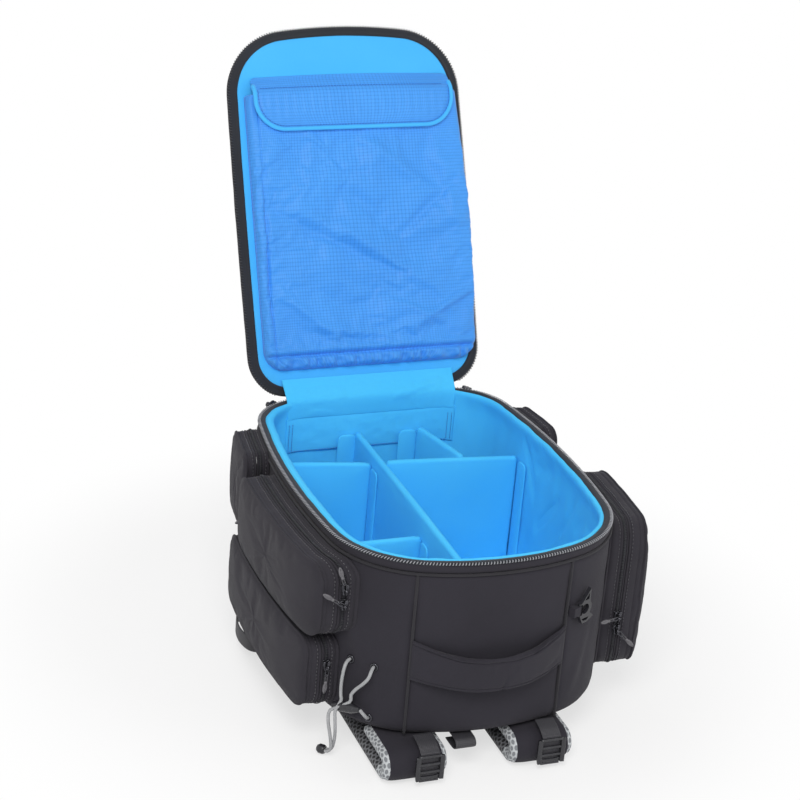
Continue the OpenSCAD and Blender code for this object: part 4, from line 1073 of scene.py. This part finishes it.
band = [(-2.6, 0), (-2.3, 1.9), (0, 2.4), (2.3, 2.2), (2.9, 0.5), (2.9, -0.5), (2.3, -2.2), (0, -2.4),
        (-2.3, -1.9)]
flap_edge = piece("flap_binding", sweep([inside_edge(p, out, 1.6) for p, out in edge], band, side=Z),
                  bright_lining, "lid_flap_body", "lining_cloth", place=LID)
seam = bmesh.new()
stitches([Vector((x, from_hinge(399) - 0.55 * flap_arch(x), flap_z(399) - 0.4)) for x in range(-122, 136, 6)],
         Z * -0.6, seam)
stitches([inside_edge(p, out, 5.2, 2.0) for p, out in edge[4:-4]], Z * -0.2, seam)
flap_seams = piece("flap_stitches", seam, blue_thread, "lid_flap_body", "ripstop_cloth", place=LID)
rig.sheet(flap, flat=(0.274, 0.071), held="laid", rests_on=["lid_pocket_cloth"],
         with_pieces=[flap_edge, flap_seams])

# ---- Dividers -----------------------------------------------------------------------------
# Closed-cell foam boards in the lining cloth, with touch-tape flanges that fold out at their ends
# and grip the lining, so that the cells can be laid out anew.
board_low, mesh_step = 57.4, 3.2


def pillow(across, up, place, bm, cut):
    """A closed pad: two grids laid by place, which takes 0 to 1 across and up and the side, 1 or
    -1, and gives the same rim for both."""
    made = []
    for side in (1, -1):
        old = set(bm.verts)
        spread(across, up, lambda s, t: place(s, t, side), bm, cut)
        made += [v for v in bm.verts if v not in old]
    bmesh.ops.remove_doubles(bm, verts=made, dist=1e-3)


def board(bm, a, b, high, thick, seed, top_r=7.0, puff=1.4):
    """A padded board that stands on the floor between two plan points."""
    a, b = Vector(a), Vector(b)
    ahead = (b - a).normalized()
    face = Vector((-ahead.y, ahead.x))
    long, half = (b - a).length, (thick - puff) / 2

    def stand(s, t, side):
        z = high * dense(t)
        x0 = round_in(z, 0.0, high, 3.0, top_r)
        x = x0 + (long - 2 * x0) * dense(s)
        rim = min(x - x0, long - x0 - x, z, high - z)
        round_rim = sqrt(max(1 - (1 - min(rim / half, 1)) ** 2, 0))
        full = (hump(x / long) * hump(z / high)) ** 0.35 * min(1, rim / 4)
        wave = 0.5 * rumple((x, z, 30 * seed + side), 30, seed)
        wave += 0.25 * rumple((x, z, 3 + side), 12, seed + 3)
        depth = side * (half * round_rim + (puff / 2 + 0.5 * wave * min(1, thick / 8)) * full)
        return Vector((*(a + ahead * x + face * depth), board_low + z))

    pillow(max(12, int(long / mesh_step)), int(high / mesh_step), stand, bm, (long, high))


dividers = {
    "long": (((-17, -225.2), (-17, 221.8), 169),
             [((-19, 220.9), (-45, 220.9), 165), ((-14, -223.2), (11, -222.6), 165)]),
    "left": (((-23.2, 150.2), (-149.5, 175.2), 157), [((-24.6, 147), (-24.6, 122), 153)]),
    "front": (((-23.2, -34), (-168.6, -34), 145), [((-24.6, -38), (-24.6, -62), 141)]),
    "right": (((-10.8, 128.9), (163.2, 110.2), 169), [((164.0, 106), (165.6, 84.5), 165)]),
    "rear": (((92.4, 124.2), (68.4, 221.4), 169),
             [((94, 124.9), (120, 122.1), 165), ((66, 220.8), (40, 220.8), 165)])}
for name, (main, flanges) in dividers.items():
    padding = bmesh.new()
    seed = 1.3 * len(name) + 0.7 * main[2] / 100
    board(padding, *main, 9.6, seed)
    for number, flange in enumerate(flanges):
        board(padding, *flange, 2.6, seed + number, 9.0, 0.5)
    made = piece("divider_%s_pad" % name, padding, lining_cloth, "divider_%s_body" % name, "lining_cloth",
                 ("divider_" + name,), loose=(lambda p: p.z < board_low + 4, 2.5, 0.02, 1.6, 10))
    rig.padded(made, fill=0.8)

# ---- Outside pockets ----------------------------------------------------------------------
# Five zipped pockets of the outer cloth. Each has a gusset sewn to the wall, a coil zip round its
# middle, and a padded face panel with a piped edge, which folds down from its lower side.
pockets = {"upper": (-1, -180.0, 78.0, 162.0, 256.0, 22.0, 42.0),
           "lower": (-1, -160.0, 126.0, 56.0, 152.0, 22.0, 39.0),
           "rear_left": (-1, 93.0, 186.0, 160.0, 266.0, 18.0, 32.0),
           "right": (1, -165.0, 20.0, 59.0, 255.0, 36.0, 50.0),
           "rear_right": (1, 93.0, 186.0, 160.0, 266.0, 18.0, 32.0)}
pocket_thread = cloth("pocket_thread", "454449", "5B5A60", weave=0.1)
dull_cloth = cloth("pocket_cloth", "252329", "36343B", weave=0.3, sheen=0.05, mottle=20.0)

for number, (name, (side, y0, y1, z0, z1, r, deep)) in enumerate(pockets.items()):
    outline = rounded(y0, z0, y1, z1, (r, r, r, r), 220)
    half = deep / 2
    middle = Vector(((y0 + y1) / 2, (z0 + z1) / 2))

    def on_flank(y, z, d, out, slack):
        """A point d out from the wall of the bag, moved by slack away from the pocket's middle."""
        y, z = y + out.x * slack, z + out.y * slack
        return Vector((side * BODY.flank(y, d), y, z))

    def lay_base(p, out, row):
        return on_flank(*p, out, 0.6 * rumple(p, 26, 3.0 + number) if 5 < row < 9 else 0)

    def lay_face(p, out, row):
        """Slack and filling of the cloth."""
        y, z, d = p
        inside = hump((y - y0) / (y1 - y0)) ** 0.4 * hump((z - z0) / (z1 - z0)) ** 0.5
        front = clamp((d - deep + 2) / 2)
        soft = clamp((d - 3) / 6) * (1 - front)
        wave = rumple((y, z, d * 0.6), 46, 2.0 + number) + 0.5 * rumple((y, z, d), 17, 5.0 + number)
        slack = soft * 0.7 * rumple((y, z, 40), 24, 1.0 + number)
        return on_flank(y, z, d + front * inside * (3.2 + 1.2 * wave), out, slack)

    base_profile = [
        (3.2, 0.3), (0.4, 0.3), (-0.5, 0.6), (-0.9, 1.6), (-0.4, 2.7), (1.4, 3.3), (0.3, 4.2),
        (-0.2, half * 0.35)] + [(inset, half - d) for inset, d in (
            (0.2, 10.4), (0.7, 9.7), (-0.5, 9.0), (-0.7, 8.2), (-0.3, 7.5), (0.6, 7.1), (0.8, 4.5),
            (0.7, 2.0), (-0.3, 1.6), (-0.6, 0.8), (0, 0.1), (2.4, 0.1), (3.2, 1))] + [
        (3.2, half / 2), (3.2, 0.3)]
    face_profile = [(4, deep - 3.4, k / 8) for k in range(8, -1, -1)] + [(3.2, deep - 6)] + [
        (inset, half + d) for inset, d in (
            (3.0, 6.5), (3.0, 1.1), (2.4, 0.5), (0.6, 0.5), (-0.4, 1.2), (-0.8, 2.1), (-0.4, 3.1), (1.5, 3.7),
            (0.1, 4.5), (-0.2, 5.9))] + [
        (0.1, deep * 0.8 - 1.4), (0.8, deep * 0.8 - 0.7), (0.0, deep * 0.8 + 0.2)] + [
        (inset, deep - d) for inset, d in (
            (0.2, 5.0), (1.6, 4.4), (-0.5, 3.8), (-1.1, 2.7), (-0.5, 1.6), (1.8, 1.9), (2.8, 1.2), (5, 0.3),
            (9, 0))] + [(14, deep, k / 18) for k in range(19)]
    piece("%s_pocket_gusset" % name, wrap(outline, base_profile, lay_base, middle), dull_cloth, "bag",
          "shell_cloth", ("%s_pocket_base" % name,))
    cover = piece("%s_pocket_face" % name, wrap(outline, face_profile, lay_face, middle), dull_cloth,
                  name + "_cover", "shell_cloth", ("%s_pocket_cover" % name,),
                  loose=(lambda p: abs(p.x) - BODY.flank(p.y) < deep - 1.5, 4.0, 0.006, 4.0, 16))
    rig.padded(cover, fill=0.7)
    for level_of, rides, d, deep_of, share, size, seed in (
            ("low", "bag", half - 11.2, half - 11.2, 0.6, 26, 3.0),
            ("high", name + "_cover", half + 5.4, 40, 0.7, 24, 1.0)):
        row = [on_flank(*p, d, out, share * rumple((*p, deep_of), size, seed + number) + 0.3)
               for p, out in outline + outline[:1]]
        piece("%s_pocket_stitches_%s" % (name, level_of), stitches(row, Z * 0, bmesh.new(), 2.2, 2.6, 0.6),
              pocket_thread, rides, "shell_cloth")
    zip_run = [on_flank(*p, half - 4.5, out, 0.6) for p, out in outline + outline[:1]]
    piece("%s_pocket_coil" % name, coil(zip_run, 3.2, 1.9, 2.1, lambda along: (X * side, -X.cross(along))),
          zip_coil, "bag", "zip_tape")

# ---- Grab handle --------------------------------------------------------------------------
# A wide padded band of the outer cloth, sewn into the two seams of the near end. Its upper edge
# sags between the seams, with a rolled hem and a line of stitches below it.
handle_low, handle_high, handle_sag, handle_rise, handle_steps = 116.0, 174.0, 16.0, 6.0, 96


def tube_of(across, around, shape, cut=(250.0, 100.0)):
    """A closed skin: shape takes 0 to 1 along the piece and 0 to 1 round it."""
    skin = spread(across, around, lambda s, t: shape(s, t % 1.0), cut=cut)
    bmesh.ops.remove_doubles(skin, verts=skin.verts, dist=1e-3)
    close(skin, 0)
    return skin


def handle_top(s):
    return handle_high - handle_sag * (1 - (2 * s - 1) ** 2)


def handle_point(s, turned):
    """Point of the band at s from the left seam, turned round its section."""
    x = seams[0] + (seams[1] - seams[0]) * s
    b = 1 - (2 * s - 1) ** 2
    low, top = handle_low + handle_rise * (1 - b), handle_top(s)
    front, back = BODY.near_y(x) - 3 - 17.5 * b, BODY.near_y(x) + 1.4 - 15.4 * b
    c, d = cos(2 * pi * turned), sin(2 * pi * turned)
    z = (low + top) / 2 + (top - low) / 2 * copysign(abs(c) ** 0.45, c)
    y = (front + back) / 2 + (front - back) / 2 * copysign(abs(d) ** 0.7, d)
    if d > 0:
        groove = bell(top - 5.0 - z, 0.8) + 0.7 * bell(z - low - 4.0, 0.8)
        wave = 0.9 * rumple((x, 0, z), 34, 4.0) + 0.5 * rumple((x, 5, z * 0.6), 13, 8.0)
        y += 2.0 * groove - 1.3 * bell(top - 2.2 - z, 1.6)
        y += creases(Vector((x, z)), [((-2, 110), (3, 134), 1.8, 1.8)])
        y += wave * min(1, 8 * s, 8 * (1 - s)) * min(1, d * 1.6)
    return Vector((x, y, z + 0.7 * rumple((x, 0, 0), 40, 2.0) * b))


handle = piece("grab_band", tube_of(handle_steps, 72, handle_point), shell_cloth, "bag", "shell_cloth",
               ("grab_handle",),
               loose=(lambda p: not seams[0] + 6 < p.x < seams[1] - 6, 3.0, 0.015, 2.5, 14))
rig.padded(handle, fill=0.8)
hem = []
for s in [k / handle_steps for k in range(5, 92)]:
    spots = [handle_point(s, t / 200) for t in range(4, 40)]
    hem.append(min(spots, key=lambda p: abs(p.z - (handle_top(s) - 5.0))) + Y * -0.2)
piece("grab_band_stitches", stitches(hem, Z * 0, bmesh.new(), 3.0, 1.2, 0.6), dark_thread, "bag",
      "shell_cloth")

# ---- Cord hardware ------------------------------------------------------------------------
# Black moulded acetal: accessory ring with its horn and barb, sprung cord lock and cord end; the
# eyelets are blackened brass, rolled over the cloth.
moulded = worn("moulded_plastic", "1B1B1E", "34343A", 300.0, 3.0, 0.2, 0.14, 0.12)
dark_metal = worn("dark_metal", "2C2C30", "5C5C62", 400.0, 3.0, 0.16, 0.14, metallic=0.9)


def dress(name, finish, edge, slot_name="buckle_plastic"):
    """Keeps a CAD node, with rounded edges and its own finish."""
    obj = frame["nodes"][name]
    obj.data.materials.clear()
    obj.data.materials.append(finish)
    weld = obj.modifiers.new("weld", "WELD")
    weld.merge_threshold = 1e-5
    soft = obj.modifiers.new("edges", "BEVEL")
    soft.width, soft.segments, soft.limit_method, soft.angle_limit = edge / 1000, 3, "ANGLE", radians(35)
    for f in obj.data.polygons:
        f.use_smooth = True
    smooth = obj.modifiers.new("normals", "WEIGHTED_NORMAL")
    smooth.keep_sharp = False
    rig.slot(obj, slot_name)


for name, edge in (("accessory_ring", 0.8), ("cord_lock", 0.9), ("cord_lock_button", 0.9),
                   ("cord_toggle", 0.8)):
    dress(name, moulded, edge)
dress("ring_tab", shell_cloth, 0.6, "webbing")
rings, eyelet_r = bmesh.new(), 4.0
for angle, z in ((57, 130.0), (42, 130.0), (43, 61.0)):
    a = radians(angle)
    along, out = Vector((-cos(a), sin(a), 0)), Vector((-sin(a), -cos(a), 0))
    middle = Vector((*BODY.corner(angle, 0.7), z))
    loop = [middle + along * eyelet_r * cos(t * pi / 16) + Z * eyelet_r * sin(t * pi / 16) for t in range(32)]
    sweep(loop, round_section(2.6, 10, 0.8), True, out, rings)
piece("eyelet_rings", rings, dark_metal, "bag", "zip_metal", ("eyelets",))

# ---- Zip sliders --------------------------------------------------------------------------
# Die-cast sliders, blackened, each with a bridge and a metal tab. A loop of cord ties a leaf-shaped
# rubber paddle to the tab.
rubber = worn("paddle_rubber", "4A494D", "77757A", 250.0, 2.0, 0.2, 0.45)
slider_t, arch_rise, arch_bar = 6.0, 3.7, 1.4
bar_y = -slider_t - arch_rise + arch_bar / 2
slider_outline = [(Vector((x, z)), Vector((x / 4.8, z / 6.5)).normalized()) for x, z in (
    (-4.4, 6.3), (-4.8, 4.4), (-4.7, 2.4), (-3.6, -0.6), (-3.3, -3.2), (-3.0, -5.6), (-2.2, -6.4), (0, -6.5),
    (2.2, -6.4), (3.0, -5.6), (3.3, -3.2), (3.6, -0.6), (4.7, 2.4), (4.8, 4.4), (4.4, 6.3), (2.4, 6.5),
    (0.9, 5.6), (0, 5.0), (-0.9, 5.6), (-2.4, 6.5))]


def plate(bm, outline, low, high, edge, move):
    """A flat plate with rounded rims: outline lies in x and z, and its faces at y low and high."""
    centre = sum((p for p, out in outline), Vector((0, 0))) / len(outline)
    turn = copysign(edge, high - low)
    rows = [(edge * 2, low, 1), (edge * 2, low), (edge, low), (edge * 0.3, low + turn * 0.3), (0, low + turn),
            (0, high - turn), (edge * 0.3, high - turn * 0.3), (edge, high), (edge * 2, high),
            (edge * 2, high, 1)]
    wrap(outline, rows, lambda p, out, row: move @ Vector((p.x, p.z, p.y)), centre, flat=True, bm=bm)


def oval(cx, a, b, point=0.0, count=28):
    out = []
    for k in range(count):
        c, s = cos(2 * pi * k / count), sin(2 * pi * k / count)
        out.append((Vector((cx + a * c, b * s * (1 + point * c))), Vector((c / a, s / b)).normalized()))
    return out


def box(wide, high):
    return [(-wide, -high), (wide, -high), (wide, high), (-wide, high)]


def slot_run(x0, x1, half, move, sway=0.0):
    """Closed path round a slot from x0 to x1, in the plane of a pull."""
    turns = [(cx, radians(start + 22.5 * k)) for cx, start in ((x1 - half, -90), (x0 + half, 90))
             for k in range(9)]
    spots = [(cx + half * cos(a), half * sin(a)) for cx, a in turns]
    return [move @ Vector((x, bar_y + sway * sin(x), z)) for x, z in spots]


def slider_mesh(move, bm):
    """Slider on a track along z, facing -y."""
    plate(bm, slider_outline, -0.5, -2.2, 0.4, move)
    plate(bm, slider_outline, -3.4, -slider_t, 0.6, move)
    plate(bm, oval(0, 2.2, 3.6), -1.0, -5.0, 0.3, move)
    arch = smooth_run([(0, y, z) for y, z in (
        (-5.6, -5.3), (-7.6, -5.2), (-9.0, -3.8), (-9.1, 0), (-9.0, 3.8), (-7.6, 5.2), (-5.6, 5.3))], 3)
    sweep([move @ p for p in arch], box(0.9, 0.6), side=Vector((1, 0.02, 0.01)), bm=bm)


def pull_meshes(move, cast, tie, paddle):
    """Metal ring and tab, cord tie and paddle of a pull that points along -x from its bar."""
    ahead, rise = move.to_3x3() @ Y, move.to_3x3() @ Z
    ring = [move @ Vector((1.95 * cos(t * pi / 10), bar_y + 1.95 * sin(t * pi / 10), 0)) for t in range(20)]
    sweep(ring, box(0.6, 1.1), True, rise, cast)
    sweep(slot_run(-11.5, -1.6, 2.0, move), box(0.6, 0.6), True, ahead, cast)
    sweep(slot_run(-21.5, -9.4, 1.25, move, 0.3), round_section(1.3, 8), True, ahead, tie)
    plate(paddle, oval(-27.0, 7.0, 2.7, 0.12), bar_y - 1.2, bar_y + 1.2, 0.8, move)
    plate(paddle, oval(-19.6, 1.9, 1.9), bar_y - 1.3, bar_y + 1.3, 0.6, move)
    for x in (-29.5, -27.5, -25.5, -23.5):
        rib = [move @ Vector((x, bar_y - 1.2, z)) for z in (-1.7, -0.8, 0, 0.8, 1.7)]
        sweep(rib, round_section(0.7, 6), side=ahead, bm=paddle)


def add_slider(name, slider_at=None, pull_at=None):
    cast, tie, paddle = bmesh.new(), bmesh.new(), bmesh.new()
    if slider_at:
        slider_mesh(slider_at, cast)
    if pull_at:
        pull_meshes(pull_at, cast, tie, paddle)
    piece(name + "_cast", cast, dark_metal, name + "_body", "zip_metal", (name,))
    if pull_at:
        piece(name + "_tie", tie, dark_thread, name + "_body", "zip_metal")
        piece(name + "_paddle", paddle, rubber, name + "_body", "zip_metal")


def turned(degrees, axis):
    return Matrix.Rotation(radians(degrees), 4, axis)


for name, pocket, z, turn_up, lift in (
        ("upper_slider_top", "upper", 227.5, 72, 0), ("upper_slider_end", "upper", 208, 35, 0),
        ("lower_slider", "lower", 117, -85, 0), ("rear_left_slider", "rear_left", 191, -15, 0),
        ("right_slider_high", "right", 140, 8, 22), ("right_slider_low", "right", 122, -135, 0)):
    side, y0, deep = pockets[pocket][0], pockets[pocket][1], pockets[pocket][6]
    seat = Matrix.Translation((side * BODY.flank(y0, deep / 2 - 4.5), y0, z))
    swung = seat @ turned(turn_up, "Y") @ Matrix.Translation(Y * bar_y) @ turned(lift, "Z")
    add_slider(name, seat, swung @ Matrix.Translation(Y * -bar_y))
coil_middle, park_angle = 271.0, 57
for name, side in (("left", -1), ("right", 1)):
    seat = (Matrix.Scale(side, 4, X) @ Matrix.Translation((*BODY.far, coil_middle)) @ turned(park_angle, "Z")
            @ Matrix.Translation((far_r, 0, 0)) @ turned(90, "Z"))
    add_slider("main_slider_" + name, slider_at=seat @ turned(90, "Y"))
    add_slider("main_pull_" + name, pull_at=seat @ turned(-90, "Y"))

# ---- Back pads and harness ----------------------------------------------------------------
# Air-mesh pads under the back sheet, and two shoulder straps of the outer cloth with an air-mesh
# face, bound along their edges with pale mesh. They turn under the bag at the near end.
hexagon = 0.0065


def air_mesh(name, thread, hole):
    """Spacer mesh knitted with hexagonal cells."""
    made, shader, w = new_finish(name)
    x, y = w.coords()[:2]
    k = 4 * pi / (sqrt(3) * hexagon)
    a, b = x * (0.5 * k), y * (0.866 * k)
    cells = [angle.math("COSINE", angle) for angle in (x * k, a + b, b - a)]
    pit = (cells[0] + cells[1] + cells[2]).step(-0.9, 0.5)
    fuzz = w.speckle(800.0)
    # The cells take the hole colour. It is partly the layer seen through the knit and partly painted shade in the
    # hollow of each cell.
    (pit * 0.85 + fuzz * 0.3).tint(shader, thread, hole)
    (fuzz * 0.1 + 0.75).plug(shader, "Roughness")
    (fuzz * 0.3 - pit).bump(shader, 0.7, 0.0012)
    shader.inputs["Sheen Weight"].default_value = 0.1
    return made


pad_mesh = air_mesh("dark_air_mesh", "3A3A3F", "17171A")
for name, x0, y0, x1, y1, low, r, nodes in (
        ("back_pad_left", -118, -168, -8, 104, 20, 22.0, ()),
        ("back_pad_right", 8, -168, 118, 104, 20, 22.0, ()),
        ("lumbar_pad", -118, 112, 118, 226, 0, 30.0, ("back_pad",))):
    rows = [(20, 43.6, 1), (20, 43.6), (3, 43.6), (0.6, 42), (0, 38)] + [(inset, low + z) for inset, z in (
        (0, 9), (0.7, 4.5), (2.6, 1.8), (6, 0.5), (11, 0.1), (13, 1.0), (15, 0.2))] + [
        (24, low, k / 10) for k in range(11)]
    pad = wrap(rounded(x0, y0, x1, y1, (r, r, r, r), 200), rows,
               lambda p, out, row: p + out * 0.5 * rumple(p, 30),
               Vector(((x0 + x1) / 2, (y0 + y1) / 2)), flat=True)
    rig.padded(piece(name, pad, pad_mesh, "bag", "mesh_pad", nodes), fill=0.9)

strap_x, strap_w, strap_t, strap_sides, strap_nose = (-98.0, 62.0), 80.0, 18.0, 64, 30
bend_y, bend_r, inner_puff = -238.0, 22.0, 3.0
bend = [(radians(a), bend_r - strap_t / 2) for a in range(0, 181, 12)]
route = [Vector((0, y, stand_h - strap_t / 2)) for y in (-182, -190, -200, -210, -220, -230)] + [
    Vector((0, bend_y - r * sin(a), bend_r + r * cos(a))) for a, r in bend] + [
    Vector((0, y, strap_t / 2)) for y in range(-232, 72, 8)]
route_s = running(route)
strap_l = route_s[-1] + 25
oval_line = []
for k in range(961):
    c, d = cos(pi * (k % 960) / 480), sin(pi * (k % 960) / 480)
    oval_line.append(Vector((copysign(abs(c) ** 0.45, c) * strap_w / 2,
                             copysign(abs(d) ** 0.75, d) * strap_t / 2)))
oval_s = running(oval_line)
strap_section = []
for k in range(strap_sides):
    spot = next(i for i, s in enumerate(oval_s) if s >= oval_s[-1] * k / strap_sides)
    strap_section.append(Vector((oval_line[spot].x / (strap_w / 2), oval_line[spot].y / (strap_t / 2))))


def strap_shape(x):
    def shape(s, t):
        """The strap at s along its route and t round its section, broad side first."""
        at = s * strap_l
        k = 0
        while k < len(route) - 2 and route_s[k + 1] < at:
            k += 1
        share = (at - route_s[k]) / (route_s[k + 1] - route_s[k])
        p = route[k].lerp(route[k + 1], share)
        along = (route[k + 1] - route[k]).normalized()
        if 0 < k and at < route_s[-1]:
            before = (route[k] - route[k - 1]).normalized()
            after = (route[k + 2] - route[k + 1]).normalized() if k + 2 < len(route) else along
            along = (before.lerp(along, 0.5 + share / 2) if share < 0.5
                     else along.lerp(after, share / 2 - 0.25)).normalized()
        outer = Vector((0, along.z, -along.y))
        rest = (strap_l - at) / strap_nose
        narrow = 1.0 if rest > 1 else sqrt(max(0.0, 1 - (1 - rest) ** 2)) * 0.999 + 0.001
        i = int(t * strap_sides)
        u, v = strap_section[i % strap_sides].lerp(strap_section[(i + 1) % strap_sides], t * strap_sides - i)
        wave = 0.7 * rumple((u * 40 + x, at, v * 9), 26, 3.0)
        groove = 0.9 * bell(abs(u) * strap_w / 2 - 35.5, 0.9) if abs(v) > 0.6 else 0
        half = strap_t / 2 - 0.8 + (0 if v > 0 else inner_puff)
        thick = half * v - copysign(groove, v) + 0.4 * wave * abs(v)
        if outer.z < -0.5:
            thick = min(thick, p.z - 0.6)
        return p + outer * thick + X * (x + u * (strap_w / 2 - 0.6) * narrow)
    return shape


strap_mesh = air_mesh("strap_air_mesh", "7A7B80", "17171A")
pale_mesh = air_mesh("pale_air_mesh", "CDD1D4", "7C7F84")
for name, x in zip(("left", "right"), strap_x):
    band = tube_of(170, strap_sides, strap_shape(x), (strap_l, oval_s[-1]))
    for f in band.faces:
        middle = f.calc_center_median()
        if abs(middle.x - x) > strap_w / 2 * 0.8:
            f.material_index = 1 if middle.z > 23 or middle.y < bend_y + 8 else 2
        elif abs(middle.z - 22) < 9.2 and middle.y > bend_y - 12:
            f.material_index = 2
    made = piece("shoulder_strap_" + name, band, [shell_cloth, pale_mesh, strap_mesh], None, "mesh_pad",
                 ("strap_root_" + name, "strap_pad_" + name))
    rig.padded(made, fill=0.8)
    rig.blend(made, "bag", "strap_" + name, start=BAG @ Vector((x, -224, 9)), end=BAG @ Vector((x, -200, 9)))

# ---- Webbing and ladder locks -------------------------------------------------------------
# Ribbed nylon webbing. The lifter straps run from the foot of the near wall through moulded ladder
# locks; loops at the rear corners carry the far ends of the shoulder straps.
webbing, shader, w = new_finish("ribbed_webbing")
x, y = w.coords()[:2]
ribs = (x * (2 * pi / 0.0016)).sine() * 0.5 + 0.5
ends = (y * (2 * pi / 0.0022)).sine() * 0.5 + 0.5
fuzz = w.speckle(700.0)
(ribs * 0.4 + ends * 0.3 + fuzz * 0.4).tint(shader, "1D1D20", "3E3D43")
(fuzz * 0.15 + 0.5).plug(shader, "Roughness")
(ribs * 0.6 + ends * 0.4).bump(shader, 0.6, 0.0005)


def ribbon(points, wide, thick, side, per=5):
    """Webbing along a smooth path, with rounded selvedges."""
    h, t = wide / 2, thick / 2
    half = [(0, -h), (t * 0.8, -h + 0.4), (t, -h + 1.2), (t, 0), (t, h - 1.2), (t * 0.8, h - 0.4)]
    return sweep(smooth_run(points, per), half + [(-a, -b) for a, b in half], side=side)


ladder_x, ladder_y, ladder_z, ladder_l, web_w = (-84.0, 70.0), -260.4, 8.0, 34.0, 25.0
ladder_top = ladder_z + ladder_l
rail_section = [(-1.6, -2.7), (1.6, -2.7), (1.8, -1.8), (1.8, 1.8), (1.6, 2.7), (-1.6, 2.7), (-1.8, 1.8),
                (-1.8, -1.8)]
lip_section = [(-2.6, 4.6), (-3.4, 3.0), (-3.6, 1.2), (-2.6, 0.4), (-0.4, 0.5), (0.2, 2.0), (0.0, 4.2),
               (-1.0, 5.2)]
for name, x in zip(("left", "right"), ladder_x):
    lock = bmesh.new()
    for side in (-1, 1):
        rail = smooth_run([(x + side * a, ladder_y - b, z) for a, b, z in (
            (14.6, 3.0, ladder_top - 1.6), (14.8, 3.2, ladder_z + 22), (14.8, 3.2, ladder_z + 9),
            (14.2, 4.4, ladder_z + 1.4))], 4)
        sweep(rail, rail_section, side=Vector((1, 0, 0.01)), bm=lock)
    for z, d in ((ladder_top - 1.9, 3.8), (ladder_z + 21.6, 3.4), (ladder_z + 11.6, 3.4)):
        bar = [Vector((x + k * 3.6, ladder_y - 3.0, z)) for k in range(-4, 5)]
        sweep(bar, round_section(d, 12), side=Z, bm=lock)
    lip = [Vector((x + k * 2.05, ladder_y - 2.9 - 0.9 * (1 - (k / 7) ** 2),
                   ladder_z + 0.6 + 1.6 * (k / 7) ** 4)) for k in range(-7, 8)]
    sweep(lip, lip_section, side=Z, bm=lock)
    piece("ladder_frame_" + name, lock, moulded, "ladder_" + name, "buckle_plastic", ("ladder_lock_" + name,))
    web_run = [(x, BODY.near_y(abs(x) - web_w / 2) - 0.4, stand_h + 8), (x, -250, stand_h + 4.6)] + [
        (x, ladder_y + q, z) for q, z in (
            (2, ladder_top + 2.2), (-0.6, ladder_top + 0.4), (-0.4, ladder_top - 5), (-0.4, ladder_z + 14),
            (-0.7, ladder_z + 5), (-2.6, ladder_z - 1.6))]
    piece("lifter_strap_" + name, ribbon(web_run, web_w - 1, 1.6, X), webbing, "ladder_" + name, "webbing",
          ("lifter_web_" + name,))

lower_points = [(-114, 106), (-150, 52), (-200, 40), (-214, 66), (-208.5, 104), (-186, 132), (-114, 150)]
for name, side in (("left", -1), ("right", 1)):
    loop = ribbon([(-side * x, y, 30) for x, y in lower_points], 20, 2, Z, 8)
    piece("lower_loop_" + name, loop, webbing, "bag", "webbing", ("lower_web_" + name,))
haul_run = [(-33, -body_l / 2 - q, stand_h - z) for q, z in (
    (-26, 0.8), (-8, 0.8), (2, 1.6), (6, 7), (1, 12.6), (-10, 14.4), (-26, 14.6))]
piece("haul_web", ribbon(haul_run, 26, 1.8, X, 6), webbing, "bag", "webbing", ("haul_loop",))

size = {"cad": [list(corner) for corner in cad_box], "dressed": [list(corner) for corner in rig.bounds()]}
with open("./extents.json", "w") as kept:
    json.dump(size, kept)
